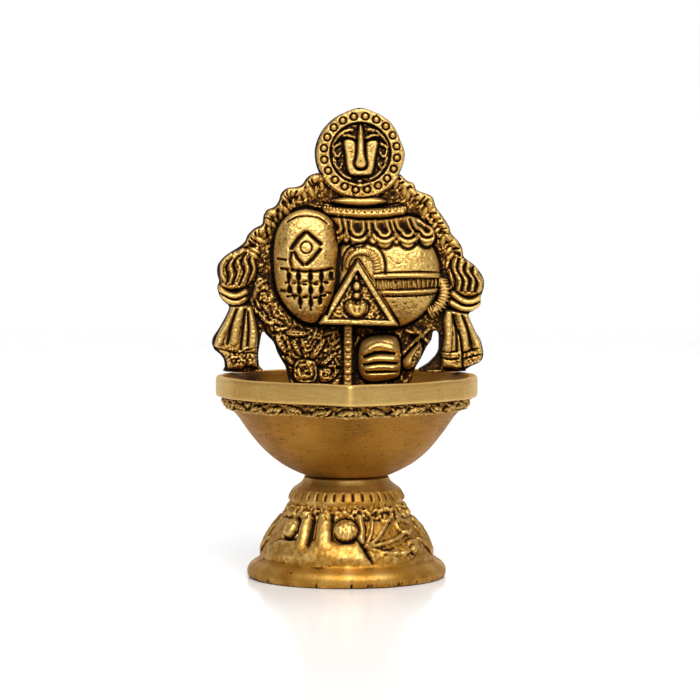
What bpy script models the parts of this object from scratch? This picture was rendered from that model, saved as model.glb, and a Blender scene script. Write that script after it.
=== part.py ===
"""A brass oil lamp with a tall relief back plate, as cast and assembled in three castings.

A hollow bell-shaped pedestal carries a leaf-shaped oil bowl, whose spout points to -Y. The relief plate
stands across the back of the bowl on two feet and a tongue. One centre bolt clamps the tongue, the bowl
floor and the pedestal together. Metres, +Z up, the origin under the middle of the whole lamp.
"""

import math

import bmesh
import bpy
from mathutils import Matrix, Vector

MM = 0.001

# --- Driving dimensions -------------------------------------------------------------------------------
BOWL_RADIUS = 28.4 * MM  # outside of the rim, at its round back
SPOUT_ANGLE = math.radians(37)  # half of the rim's front that is straight, on each side of the tip
BOWL_FLOOR_Z = 22.2 * MM  # underside of the bowl
BOWL_WALL = 2.2 * MM
RIM_TOP_Z = 43.7 * MM
PEDESTAL_TOP_Z = 21.9 * MM
PEDESTAL_WEB = 2.5 * MM  # thickness of the pedestal's top, which the bolt goes through
BOLT_RADIUS = 2.0 * MM
BOLT_HOLE_RADIUS = 2.25 * MM
CLAMP_GAP = 0.1 * MM  # left between the faces that the bolt clamps
PLATE_FRONT_Y = 9.0 * MM  # front of the plate's ground, behind the bowl's middle
PLATE_THICKNESS = 3.0 * MM
SHAPE_SINK = 1.5 * MM  # how deep a raised shape goes into the plate
ROUND_STEPS = 48

# --- Worked out from them -----------------------------------------------------------------------------
SPOUT_REACH = BOWL_RADIUS / math.cos(SPOUT_ANGLE)  # from the bowl's middle to the tip
PLATE_LEFT_X = -29.6 * MM
PLATE_RIGHT_X = 30.7 * MM
# The bowl and pedestal share this upright axis, which isn't the middle of the whole lamp.
LAMP_AXIS = Vector((-(PLATE_LEFT_X + PLATE_RIGHT_X) / 2, (SPOUT_REACH - BOWL_RADIUS) / 2, 0.0))
BOWL_INNER_FLOOR_Z = BOWL_FLOOR_Z + BOWL_WALL
GASKET_Z = BOWL_INNER_FLOOR_Z + CLAMP_GAP
GASKET_THICKNESS = 0.6 * MM
PAD_Z = GASKET_Z + GASKET_THICKNESS + CLAMP_GAP
PAD_THICKNESS = 2.0 * MM
HEAD_Z = PAD_Z + PAD_THICKNESS + CLAMP_GAP
WEB_UNDERSIDE_Z = PEDESTAL_TOP_Z - PEDESTAL_WEB
WASHER_THICKNESS = 0.8 * MM
WASHER_Z = WEB_UNDERSIDE_Z - CLAMP_GAP - WASHER_THICKNESS
NUT_THICKNESS = 3.2 * MM
NUT_Z = WASHER_Z - CLAMP_GAP - NUT_THICKNESS
BOLT_END_Z = NUT_Z - 1.3 * MM


def clear_scene():
    for old in list(bpy.data.objects):
        bpy.data.objects.remove(old, do_unlink=True)


def make_collection(name):
    collection = bpy.data.collections.new(name)
    bpy.context.scene.collection.children.link(collection)
    return collection


def metal(name, colour, roughness):
    material = bpy.data.materials.new(name)
    material.use_nodes = True
    shader = material.node_tree.nodes["Principled BSDF"]
    shader.inputs["Base Color"].default_value = (*colour, 1.0)
    shader.inputs["Roughness"].default_value = roughness
    shader.inputs["Metallic"].default_value = 1.0
    material.diffuse_color = (*colour, 1.0)
    return material


def add_object(name, mesh, collection, parent, material=None):
    piece = bpy.data.objects.new(name, mesh)
    collection.objects.link(piece)
    piece.parent = parent
    if material:
        mesh.materials.append(material)
    return piece


def add_helper(name, mesh, collection, parent):
    """A cutter or a shape to be joined, which isn't a piece of the lamp."""
    helper = add_object(name, mesh, collection, parent)
    helper.hide_render = True
    helper.display_type = "WIRE"
    return helper


def mesh_from(bm, name):
    mesh = bpy.data.meshes.new(name)
    bmesh.ops.recalc_face_normals(bm, faces=bm.faces)
    bm.to_mesh(mesh)
    bm.free()
    return mesh


def cylinder_mesh(name, radius, low_z, high_z, steps=ROUND_STEPS, top_radius=None):
    bm = bmesh.new()
    middle = Matrix.Translation((0, 0, (low_z + high_z) / 2))
    bmesh.ops.create_cone(
        bm,
        cap_ends=True,
        segments=steps,
        radius1=radius,
        radius2=radius if top_radius is None else top_radius,
        depth=high_z - low_z,
        matrix=middle,
    )
    return mesh_from(bm, name)


def turned(name, profile, collection, parent, material, steps=ROUND_STEPS):
    """A closed (radius, z) profile, given in millimetres down its outer side, turned about Z."""
    mesh = bpy.data.meshes.new(name)
    points = [(radius * MM, 0.0, z * MM) for radius, z in profile]
    edges = [(i, (i + 1) % len(points)) for i in range(len(points))]
    mesh.from_pydata(points, edges, [])
    piece = add_object(name, mesh, collection, parent, material)
    screw = piece.modifiers.new("turn", "SCREW")
    screw.axis = "Z"
    screw.steps = steps
    screw.render_steps = steps
    screw.use_merge_vertices = True
    screw.merge_threshold = 0.00001
    screw.use_smooth_shade = True
    return piece


def boolean(piece, other, operation):
    step = piece.modifiers.new(f"{operation.lower()} {other.name}", "BOOLEAN")
    step.operation = operation
    step.solver = "EXACT"
    step.object = other


# --- Pedestal -----------------------------------------------------------------------------------------
def build_pedestal(collection, parent, brass):
    """A hollow bell: flared base ring, bulging relief wall, grooved collar and a flat seat for the bowl."""
    outer = [
        (BOLT_HOLE_RADIUS / MM, PEDESTAL_TOP_Z / MM),
        (9.2, PEDESTAL_TOP_Z / MM),
        (10.1, 20.2),
        (11.6, 18.9),
        (12.4, 17.5),
        (12.9, 16.1),
        (14.9, 13.7),
        (16.7, 11.0),
        (18.1, 7.8),
        (18.8, 4.6),
        (20.4, 3.5),
        (21.35, 2.2),
        (21.35, 0.5),
        (20.9, 0.0),
    ]
    inner = [
        (18.9, 0.0),
        (17.6, 2.2),
        (16.5, 5.0),
        (15.6, 8.4),
        (14.0, 11.4),
        (12.2, 13.8),
        (10.4, 15.8),
        (9.0, 18.0),
        (7.6, WEB_UNDERSIDE_Z / MM),
        (BOLT_HOLE_RADIUS / MM, WEB_UNDERSIDE_Z / MM),
    ]
    return turned("pedestal", outer + inner, collection, parent, brass)


# --- Bowl ---------------------------------------------------------------------------------------------
def leaf_ring(bm, radius, z, leaf, steps=60):
    """A ring of points round the bowl. leaf is 0 for a circle and 1 for the rim's leaf with its spout."""
    ring = []
    for i in range(steps):
        turn = 2 * math.pi * i / steps
        from_tip = abs((turn + math.pi) % (2 * math.pi) - math.pi)
        straight = max(0.0, SPOUT_ANGLE - from_tip)
        reach = radius * (1 + leaf * (1 / math.cos(straight) - 1))
        ring.append(bm.verts.new((reach * math.sin(turn), -reach * math.cos(turn), z)))
    return ring


def build_bowl(collection, parent, brass):
    """The oil bowl: a loft from the round bottom to the leaf-shaped rim, with a hole for the centre bolt."""
    outside = [
        # radius mm, z mm, leaf
        (9.0, 22.2, 0.0),
        (11.4, 23.1, 0.0),
        (13.7, 24.3, 0.1),
        (17.1, 26.9, 0.25),
        (19.5, 29.5, 0.45),
        (21.5, 32.1, 0.65),
        (23.3, 34.7, 0.8),
        (25.6, 37.3, 0.92),
        (26.9, 38.7, 1.0),
        (28.1, 39.5, 1.0),
        (28.4, 40.3, 1.0),
        (28.4, 43.2, 1.0),
        (28.0, RIM_TOP_Z / MM, 1.0),
    ]
    inside = [
        (26.6, RIM_TOP_Z / MM, 1.0),
        (26.1, 43.1, 1.0),
        (24.6, 39.7, 1.0),
        (22.6, 36.4, 0.9),
        (20.0, 32.8, 0.7),
        (17.3, 29.6, 0.45),
        (14.2, 27.2, 0.2),
        (11.0, 25.3, 0.05),
        (8.0, BOWL_INNER_FLOOR_Z / MM, 0.0),
    ]
    hole = BOLT_HOLE_RADIUS / MM
    stations = (
        [(hole, BOWL_FLOOR_Z / MM, 0.0)] + outside + inside + [(hole, BOWL_INNER_FLOOR_Z / MM, 0.0)]
    )
    bm = bmesh.new()
    rings = [leaf_ring(bm, radius * MM, z * MM, leaf) for radius, z, leaf in stations]
    for lower, upper in zip(rings, rings[1:] + rings[:1]):
        for i in range(len(lower)):
            j = (i + 1) % len(lower)
            bm.faces.new((lower[i], lower[j], upper[j], upper[i]))
    mesh = mesh_from(bm, "bowl")
    mesh.shade_smooth()
    mesh.set_sharp_from_angle(angle=math.radians(40))
    return add_object("bowl", mesh, collection, parent, brass)


# --- Relief plate -------------------------------------------------------------------------------------
# The plate's edge in millimetres, seen from the front: x from the lamp's axis, z above the table.
# It runs clockwise from where the left shoulder leaves the round medallion.
MEDALLION_CENTRE = (3.1, 91.9)
MEDALLION_RADIUS = 10.0
RIGHT_EDGE = [
    (12.9, 86.3),
    (16.3, 84.3),
    (19.6, 81.9),
    (20.6, 78.4),
    (22.9, 76.4),
    (25.4, 72.6),
    (26.6, 69.3),
    (30.1, 65.7),
    (PLATE_RIGHT_X / MM, 63.6),
    (29.8, 59.0),
    (27.1, 56.6),
    (28.7, 52.4),
    (30.2, 49.4),
    (29.9, 46.8),
    (26.4, 44.9),
]
RIGHT_FOOT = [(26.3, 44.0), (17.6, 44.0), (20.7, 48.4), (20.4, 53.0)]
LEG_RIGHT = [(17.6, 50.6), (15.2, 45.6), (13.4, 39.0), (9.0, 31.5)]
LEG_ROOT = [(3.6, 28.0), (-3.6, 28.0)]
LEG_LEFT = [(-8.6, 31.0), (-11.4, 38.0), (-13.6, 45.2), (-16.0, 50.2)]
LEFT_FOOT = [(-19.2, 52.7), (-19.6, 48.0), (-18.6, 44.0), (-26.3, 44.0)]
LEFT_EDGE = [
    (-27.0, 46.2),
    (-29.2, 48.8),
    (PLATE_LEFT_X / MM, 50.8),
    (-27.4, 55.2),
    (-25.8, 58.0),
    (-28.1, 60.7),
    (-28.5, 66.4),
    (-26.6, 69.6),
    (-22.9, 72.4),
    (-21.2, 75.0),
    (-18.8, 77.4),
    (-17.8, 79.6),
    (-15.2, 81.2),
    (-13.2, 84.0),
    (-9.6, 85.6),
    (-7.0, 86.9),
]


def medallion_arc(steps=20):
    """The medallion's round edge, from its left side over the top to its right side."""
    start, end = math.radians(207), math.radians(-34)
    x0, z0 = MEDALLION_CENTRE
    turns = [start + (end - start) * i / steps for i in range(steps + 1)]
    return [(x0 + MEDALLION_RADIUS * math.cos(t), z0 + MEDALLION_RADIUS * math.sin(t)) for t in turns]


def slab_mesh(name, outline, front_y, back_y, collection):
    """A flat plate in the XZ plane: a filled 2D curve with an extrusion, made a mesh with welded caps."""
    curve = bpy.data.curves.new(name, "CURVE")
    curve.dimensions = "2D"
    curve.fill_mode = "BOTH"
    curve.extrude = (back_y - front_y) / 2
    spline = curve.splines.new("POLY")
    spline.points.add(len(outline) - 1)
    for point, (x, z) in zip(spline.points, outline):
        point.co = (x * MM, z * MM, 0.0, 1.0)
    spline.use_cyclic_u = True
    flat = bpy.data.objects.new(name, curve)
    collection.objects.link(flat)
    bpy.context.view_layer.update()
    evaluated = flat.evaluated_get(bpy.context.evaluated_depsgraph_get())
    mesh = bpy.data.meshes.new_from_object(evaluated)
    bpy.data.objects.remove(flat)
    upright = Matrix.Rotation(math.radians(90), 4, "X")
    mesh.transform(Matrix.Translation((0, (front_y + back_y) / 2, 0)) @ upright)
    bm = bmesh.new()
    bm.from_mesh(mesh)
    bmesh.ops.remove_doubles(bm, verts=bm.verts, dist=0.000001)
    bpy.data.meshes.remove(mesh)
    return mesh_from(bm, name)


def dome_mesh(name, centre, radii, depth, tilt=0.0):
    """A flattened ball, whose back stays inside the plate. centre and radii are in millimetres."""
    bm = bmesh.new()
    bmesh.ops.create_uvsphere(bm, u_segments=24, v_segments=12, radius=1.0)
    for vert in bm.verts:
        if vert.co.y > 0:
            vert.co.y *= SHAPE_SINK / (depth * MM)
    size = Matrix.Diagonal((radii[0] * MM, depth * MM, radii[1] * MM, 1.0))
    turn = Matrix.Rotation(math.radians(tilt), 4, "Y")
    place = Matrix.Translation((centre[0] * MM, PLATE_FRONT_Y + 0.4 * MM, centre[1] * MM))
    bmesh.ops.transform(bm, matrix=place @ turn @ size, verts=bm.verts)
    return mesh_from(bm, name)


def bar_mesh(name, start, end, width, height):
    """A straight raised bar with a flat top between two points of the plate, in millimetres."""
    a, b = Vector(start) * MM, Vector(end) * MM
    turn = Matrix.Rotation(-math.atan2(b.y - a.y, b.x - a.x), 4, "Y")
    size = Matrix.Diagonal(((b - a).length, height * MM + SHAPE_SINK, width * MM, 1.0))
    middle_y = PLATE_FRONT_Y + (SHAPE_SINK - height * MM) / 2
    place = Matrix.Translation(((a.x + b.x) / 2, middle_y, (a.y + b.y) / 2))
    bm = bmesh.new()
    bmesh.ops.create_cube(bm, size=1.0)
    bmesh.ops.transform(bm, matrix=place @ turn @ size, verts=bm.verts)
    return mesh_from(bm, name)


def relief_helpers(collection, parent):
    """The main raised shapes of the casting, each of which dips into the plate's ground."""
    triangle = [(1.4, 69.0), (9.0, 56.8), (-5.4, 56.8)]
    medallion = cylinder_mesh("medallion", (MEDALLION_RADIUS - 0.7) * MM, 0.0, 2.6 * MM)
    middle = (MEDALLION_CENTRE[0] * MM, PLATE_FRONT_Y + 0.8 * MM, MEDALLION_CENTRE[1] * MM)
    medallion.transform(Matrix.Translation(middle) @ Matrix.Rotation(math.radians(90), 4, "X"))
    meshes = [
        dome_mesh("pot", (6.2, 67.5), (14.6, 14.2), 4.6),
        dome_mesh("palm", (-8.7, 66.6), (7.2, 12.4), 6.2, tilt=5),
        dome_mesh("fist", (9.2, 47.8), (6.2, 5.0), 4.4),
        dome_mesh("left_bow", (-25.0, 64.4), (3.0, 5.2), 2.4),
        dome_mesh("right_bow", (27.0, 63.8), (3.2, 5.2), 2.4),
        dome_mesh("left_tassel", (-24.2, 50.6), (4.0, 6.4), 2.4, tilt=4),
        dome_mesh("right_tassel", (25.2, 50.4), (3.8, 6.4), 2.4, tilt=-4),
        medallion,
        bar_mesh("strap", (9.0, 63.4), (20.0, 63.4), 3.6, 4.6),
    ]
    for i, corner in enumerate(triangle):
        meshes.append(bar_mesh(f"frame_side_{i}", corner, triangle[(i + 1) % 3], 1.5, 5.4))
    return [add_helper(f"shape_{mesh.name}", mesh, collection, parent) for mesh in meshes]


def tongue_mesh():
    """The strap that bends forward from the plate's leg and lies on the bowl floor under the bolt."""
    low, high = PAD_Z / MM, (PAD_Z + PAD_THICKNESS) / MM
    front, back = PLATE_FRONT_Y / MM, (PLATE_FRONT_Y + PLATE_THICKNESS) / MM
    side = [
        # y mm, z mm, from the pad back to the bend and up into the leg
        (-1.0, low),
        (6.4, low),
        (back - 0.2, 28.3),
        (back - 0.2, 31.0),
        (front, 31.0),
        (5.6, high),
        (-1.0, high),
    ]
    half_width = 3.4 * MM
    bm = bmesh.new()
    near, far = ([bm.verts.new((x, y * MM, z * MM)) for y, z in side] for x in (-half_width, half_width))
    bm.faces.new(near)
    bm.faces.new(far)
    for i in range(len(side)):
        j = (i + 1) % len(side)
        bm.faces.new((near[i], near[j], far[j], far[i]))
    return mesh_from(bm, "tongue")


def build_plate(collection, helpers, parent, brass):
    """One casting: the ground sheet, its raised shapes, and the tongue that the bolt holds."""
    right_side = RIGHT_EDGE + RIGHT_FOOT + LEG_RIGHT
    left_side = LEG_LEFT + LEFT_FOOT + LEFT_EDGE
    outline = medallion_arc() + right_side + LEG_ROOT + left_side
    mesh = slab_mesh("relief_plate", outline, PLATE_FRONT_Y, PLATE_FRONT_Y + PLATE_THICKNESS, helpers)
    plate = add_object("relief_plate", mesh, collection, parent, brass)
    for helper in relief_helpers(helpers, parent):
        boolean(plate, helper, "UNION")
    tongue = add_helper("shape_tongue", tongue_mesh(), helpers, parent)
    boolean(plate, tongue, "UNION")
    pad = cylinder_mesh("pad", 5.2 * MM, PAD_Z, PAD_Z + PAD_THICKNESS, steps=32)
    boolean(plate, add_helper("shape_pad", pad, helpers, parent), "UNION")
    hole = cylinder_mesh("bolt_hole", BOLT_HOLE_RADIUS, PAD_Z - MM, PAD_Z + PAD_THICKNESS + MM, steps=24)
    boolean(plate, add_helper("cut_bolt_hole", hole, helpers, parent), "DIFFERENCE")
    return plate


# --- Fasteners ----------------------------------------------------------------------------------------
def build_bolt(collection, helpers, parent, brass):
    """A slotted pan-head bolt: head inside the bowl, shank down into the pedestal."""
    head_radius, head_height = 3.7, 2.3
    head = HEAD_Z / MM
    shank = BOLT_RADIUS / MM
    profile = [
        (0.0, head + head_height),
        (head_radius - 1.2, head + head_height - 0.15),
        (head_radius - 0.3, head + head_height - 0.9),
        (head_radius, head + 0.5),
        (head_radius, head),
        (shank, head),
        (shank, BOLT_END_Z / MM + 0.4),
        (shank - 0.4, BOLT_END_Z / MM),
        (0.0, BOLT_END_Z / MM),
    ]
    mesh = bpy.data.meshes.new("centre_bolt")
    points = [(radius * MM, 0.0, z * MM) for radius, z in profile]
    mesh.from_pydata(points, [(i, i + 1) for i in range(len(points) - 1)], [])
    bolt = add_object("centre_bolt", mesh, collection, parent, brass)
    screw = bolt.modifiers.new("turn", "SCREW")
    screw.axis = "Z"
    screw.steps = 32
    screw.render_steps = 32
    screw.use_merge_vertices = True
    screw.merge_threshold = 0.00001
    slot = bmesh.new()
    bmesh.ops.create_cube(slot, size=1.0)
    size = Matrix.Diagonal((12 * MM, 0.9 * MM, 2.2 * MM, 1.0))
    top = Matrix.Translation((0, 0, HEAD_Z + head_height * MM))
    bmesh.ops.transform(slot, matrix=top @ size, verts=slot.verts)
    cutter = add_helper("cut_slot", mesh_from(slot, "slot"), helpers, parent)
    boolean(bolt, cutter, "DIFFERENCE")
    return bolt


def build_ring(name, inner, outer, low_z, thickness, collection, parent, material):
    high = (low_z + thickness) / MM
    low = low_z / MM
    profile = [(inner, high), (outer, high), (outer, low), (inner, low)]
    return turned(name, profile, collection, parent, material, steps=32)


def build_nut(collection, helpers, parent, steel):
    across_corners = 8.08 * MM
    body = cylinder_mesh("hex_nut", across_corners / 2, NUT_Z, NUT_Z + NUT_THICKNESS, steps=6)
    nut = add_object("hex_nut", body, collection, parent, steel)
    bore_radius = BOLT_RADIUS + CLAMP_GAP
    bore = cylinder_mesh("nut_bore", bore_radius, NUT_Z - MM, NUT_Z + NUT_THICKNESS + MM, steps=24)
    boolean(nut, add_helper("cut_nut_bore", bore, helpers, parent), "DIFFERENCE")
    return nut


def main():
    clear_scene()
    lamp = make_collection("brass_kalash_lamp")
    helpers = make_collection("helpers")
    brass = metal("antique_brass", (0.62, 0.42, 0.13), 0.38)
    steel = metal("plated_steel", (0.55, 0.55, 0.53), 0.35)
    soft_brass = metal("soft_brass", (0.72, 0.52, 0.22), 0.42)
    axis = bpy.data.objects.new("lamp_axis", None)
    axis.location = LAMP_AXIS
    lamp.objects.link(axis)
    build_pedestal(lamp, axis, brass)
    build_bowl(lamp, axis, brass)
    build_plate(lamp, helpers, axis, brass)
    build_bolt(lamp, helpers, axis, soft_brass)
    build_ring("sealing_washer", 2.25, 5.0, GASKET_Z, GASKET_THICKNESS, lamp, axis, soft_brass)
    build_ring("plain_washer", 2.15, 4.5, WASHER_Z, WASHER_THICKNESS, lamp, axis, steel)
    build_nut(lamp, helpers, axis, steel)


main()
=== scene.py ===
"""A cast brass oil lamp: the finished look of its castings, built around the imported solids.

The lamp is a bell-shaped pedestal, a leaf-shaped bowl and an upright relief plate. The plate is sculpted as
one height field in millimetres and cast as closed slabs. The pedestal, the bowl and the vine under its rim
are closed stacks of rings, raised and cut by height fields of their own. Beads, ribs, studs and the
garlands' leaves are laid along guide lines by Geometry Nodes. The finished lamp is in metres, in the frame's
own axes: +Z up, the front towards -Y, +X to the right.
"""

import math

import bmesh
import bpy
import numpy as np
from bpy.props import FloatProperty, FloatVectorProperty, IntProperty, PointerProperty
from mathutils import Matrix, Vector
from mathutils.geometry import tessellate_polygon


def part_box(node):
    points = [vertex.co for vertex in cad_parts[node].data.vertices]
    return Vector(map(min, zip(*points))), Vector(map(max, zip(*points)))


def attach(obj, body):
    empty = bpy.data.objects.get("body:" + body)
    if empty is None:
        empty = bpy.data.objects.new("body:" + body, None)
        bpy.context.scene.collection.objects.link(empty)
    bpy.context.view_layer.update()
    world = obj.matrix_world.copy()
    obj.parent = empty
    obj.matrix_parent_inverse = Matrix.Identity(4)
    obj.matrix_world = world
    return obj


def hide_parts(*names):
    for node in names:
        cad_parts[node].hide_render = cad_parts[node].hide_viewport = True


bl_info = {
    "name": "Cast Brass Oil Lamp",
    "version": (1, 0, 0),
    "blender": (4, 5, 0),
    "location": "3D View > Sidebar > Oil Lamp",
    "description": "Builds the sculpted castings, ornament and stage of a brass oil lamp",
    "category": "Add Mesh",
}

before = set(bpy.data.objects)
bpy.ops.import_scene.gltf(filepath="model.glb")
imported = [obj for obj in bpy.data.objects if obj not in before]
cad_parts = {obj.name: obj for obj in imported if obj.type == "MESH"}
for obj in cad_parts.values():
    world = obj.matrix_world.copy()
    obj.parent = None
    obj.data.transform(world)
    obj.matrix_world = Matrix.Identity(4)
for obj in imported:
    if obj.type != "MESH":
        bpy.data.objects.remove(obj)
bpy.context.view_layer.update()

MM = 0.001
BODY = "root"

# The frame's own sizes, in millimetres.
PEDESTAL_LOW, PEDESTAL_HIGH = (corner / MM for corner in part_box("pedestal"))
BOWL_LOW, BOWL_HIGH = (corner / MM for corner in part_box("bowl"))
PLATE_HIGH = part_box("relief_plate")[1] / MM
AXIS_X = (PEDESTAL_LOW.x + PEDESTAL_HIGH.x) / 2
AXIS_Y = (PEDESTAL_LOW.y + PEDESTAL_HIGH.y) / 2
RIM_RADIUS = (BOWL_HIGH.x - BOWL_LOW.x) / 2
PLATE_BACK = PLATE_HIGH.y
PLATE_GROUND = PLATE_BACK - 3.0  # the face that the relief stands on


# --- Height fields -------------------------------------------------------------------------------------
class Field:
    """Heights in millimetres over a plane, with u to the right and v up."""

    def __init__(self, low, high, cell):
        self.cell = cell
        self.low = low
        self.u, self.v = np.meshgrid(
            np.arange(low[0], high[0] + cell, cell), np.arange(low[1], high[1] + cell, cell)
        )
        self.h = np.zeros_like(self.u)

    def near(self, points, reach):
        """The part of the field within reach of some points, as views that share its heights."""
        part = object.__new__(Field)
        spots = np.asarray(points, float)
        most = np.array(self.u.shape[::-1]) - 2
        low = np.clip((spots.min(0) - reach - self.low) / self.cell, 0, most).astype(int)
        high = np.clip((spots.max(0) + reach - self.low) / self.cell, 0, most).astype(int) + 2
        window = (slice(low[1], high[1]), slice(low[0], high[0]))
        part.cell = self.cell
        part.low = (self.u[window][0, 0], self.v[window][0, 0])
        part.u, part.v, part.h = self.u[window], self.v[window], self.h[window]
        return part

    def at(self, values, u, v):
        """One of the field's arrays read between its grid points."""
        rows, columns = values.shape
        x = np.clip((np.asarray(u) - self.low[0]) / self.cell, 0, columns - 1.001)
        y = np.clip((np.asarray(v) - self.low[1]) / self.cell, 0, rows - 1.001)
        i, j = x.astype(int), y.astype(int)
        s, t = x - i, y - j
        lower = values[j, i] * (1 - s) + values[j, i + 1] * s
        upper = values[j + 1, i] * (1 - s) + values[j + 1, i + 1] * s
        return lower * (1 - t) + upper * t

    def grain(self, radius, seed):
        """Smooth random bumps over this field, with a radius in millimetres."""
        return grain(self.h.shape, radius / self.cell, seed)

    def worms(self, radius, seed):
        """Wormy texture over this field, with a radius in millimetres."""
        return worms(self.h.shape, radius / self.cell, seed)


def blurred(values, radius, ring=False):
    """values smoothed by a Gaussian whose radius is in grid cells. On a ring the columns meet end to end."""
    rows, columns = values.shape
    pad = int(3 * radius) + 1
    padded = np.pad(values, ((pad, pad), (0, 0)), mode="edge")
    padded = np.pad(padded, ((0, 0), (pad, pad)), mode="wrap" if ring else "edge")
    wave_y = np.fft.fftfreq(padded.shape[0])[:, None]
    wave_x = np.fft.rfftfreq(padded.shape[1])[None, :]
    weight = np.exp(-2 * (math.pi * radius) ** 2 * (wave_x**2 + wave_y**2))
    smooth = np.fft.irfft2(np.fft.rfft2(padded) * weight, s=padded.shape)
    return smooth[pad : pad + rows, pad : pad + columns]


def grain(shape, radius, seed, ring=False):
    """Smooth random bumps with lumps about radius cells wide and a spread of one."""
    noise = blurred(np.random.default_rng(seed).standard_normal(shape), radius, ring)
    return noise / noise.std()


def worms(shape, radius, seed, ring=False):
    """The wormy texture of a sand-cast ground, between -1 and 1."""
    noise = np.random.default_rng(seed).standard_normal(shape)
    band = blurred(noise, radius, ring) - blurred(noise, radius * 2, ring)
    return np.tanh(1.4 * band / band.std())


# --- Outlines and distances ----------------------------------------------------------------------------
def smooth_line(points, closed=False, steps=4):
    """A Catmull-Rom curve through the points."""
    spots = np.asarray(points, float)
    if closed:
        spots = np.vstack([spots[-1], spots, spots[:2]])
    else:
        spots = np.vstack([2 * spots[0] - spots[1], spots, 2 * spots[-1] - spots[-2]])
    t = np.linspace(0, 1, steps, endpoint=False)[:, None]
    line = []
    for a, b, c, d in zip(spots, spots[1:], spots[2:], spots[3:]):
        line.append(
            0.5 * (2 * b + (c - a) * t + (2 * a - 5 * b + 4 * c - d) * t**2 + (3 * (b - c) + d - a) * t**3)
        )
    if not closed:
        line.append(spots[-2:-1])
    return np.vstack(line)


def along_line(field, line):
    """Distance to a line, and how far along it, 0 to 1, the nearest point is."""
    ends = np.asarray(line, float)
    lengths = np.hypot(*np.diff(ends, axis=0).T)
    total = max(lengths.sum(), 1e-9)
    nearest = np.full(field.u.shape, np.inf)
    share = np.zeros(field.u.shape)
    start = 0.0
    for (x0, y0), (x1, y1), length in zip(ends, ends[1:], lengths):
        if length > 0:
            du, dv = field.u - x0, field.v - y0
            t = np.clip((du * (x1 - x0) + dv * (y1 - y0)) / length**2, 0, 1)
            away = np.hypot(du - t * (x1 - x0), dv - t * (y1 - y0))
            closer = away < nearest
            nearest = np.where(closer, away, nearest)
            share = np.where(closer, (start + t * length) / total, share)
        start += length
    return nearest, share


def inside_outline(field, outline):
    """Distance to a closed outline, negative inside it."""
    ends = np.asarray(outline, float)
    nearest, _ = along_line(field, np.vstack([ends, ends[:1]]))
    inside = np.zeros(field.u.shape, bool)
    for (x0, y0), (x1, y1) in zip(ends, np.roll(ends, -1, axis=0)):
        if y0 != y1:
            crossing = x0 + (field.v - y0) / (y1 - y0) * (x1 - x0)
            inside ^= ((y0 > field.v) != (y1 > field.v)) & (field.u < crossing)
    return np.where(inside, -nearest, nearest)


def inside_oval(field, centre, half_width, half_height, tilt=0.0):
    """Nearly the distance to an oval's edge, negative inside. tilt is in degrees, anticlockwise."""
    turn = math.radians(tilt)
    du, dv = field.u - centre[0], field.v - centre[1]
    a = (du * math.cos(turn) + dv * math.sin(turn)) / half_width
    b = (dv * math.cos(turn) - du * math.sin(turn)) / half_height
    near = np.hypot(a, b)
    slope = np.hypot(a / half_width, b / half_height)
    return near * (near - 1) / np.maximum(slope, 1e-6)


def rounded(distance, edge):
    """0 outside a shape, rising over its edge in a quarter circle to 1 inside."""
    inward = np.clip(-distance / edge, 0, 1)
    return np.sqrt(1 - (1 - inward) ** 2)


def falloff(distance, width):
    return np.exp(-((distance / width) ** 2))


# --- Chasing tools: each changes a field's heights -----------------------------------------------------
def ridge(field, points, width, height, tip=1.0, smooth=True):
    """A rounded strand along a line. tip is its width at the far end, as a share of its width."""
    line = smooth_line(points) if smooth and len(points) > 2 else points
    part = field.near(line, width * 2)
    away, share = along_line(part, line)
    half = width * (1 + (tip - 1) * share)
    part.h += height * np.sqrt(np.clip(1 - (away / half) ** 2, 0, 1))


def groove(field, points, width, depth, tip=1.0, smooth=True):
    """A cut along a line."""
    line = smooth_line(points) if smooth and len(points) > 2 else points
    part = field.near(line, width * 3)
    away, share = along_line(part, line)
    part.h -= depth * falloff(away, width * (1 + (tip - 1) * share))


def emboss(field, outline, height, edge, moat=0.0):
    """A raised shape with a rounded edge, and a cut of depth moat round it."""
    part = field.near(outline, 3.0)
    away = inside_outline(part, outline)
    part.h += height * rounded(away, edge) - moat * falloff(away - 0.15, 0.22) * (away > -0.1)


def emboss_oval(field, centre, half_width, half_height, height, edge, tilt=0.0, moat=0.0):
    reach = max(half_width, half_height) + 1.0
    part = field.near([centre], reach)
    away = inside_oval(part, centre, half_width, half_height, tilt)
    part.h += height * rounded(away, edge) - moat * falloff(away - 0.15, 0.22) * (away > -0.1)


def ring_cut(field, centre, radius, width, depth):
    part = field.near([centre], radius + 4 * width)
    away = np.hypot(part.u - centre[0], part.v - centre[1]) - radius
    part.h -= depth * falloff(away, width)


def raise_to(field, away, level, edge):
    """Lifts everything inside a shape to a level, over a rounded edge, where it isn't higher already."""
    lift = level * rounded(away, edge)
    field.h[...] = np.where(away < 0, np.maximum(field.h, lift), field.h)


def strand(field, points, width, level, edge, tip=1.0):
    """A smooth raised strand at a level of its own."""
    line = smooth_line(points) if len(points) > 2 else points
    part = field.near(line, width + 1.0)
    away, share = along_line(part, line)
    raise_to(part, away - width * (1 + (tip - 1) * share), level, edge)


def stain(heights, cell, ring=False):
    """How far each spot stands out of its surroundings: below 0 where the black patina stays."""
    fine = heights - blurred(heights, 0.28 / cell, ring)
    broad = heights - blurred(heights, 0.95 / cell, ring)
    return np.clip(fine / 0.16 + broad / 0.55, -3, 3)


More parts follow.
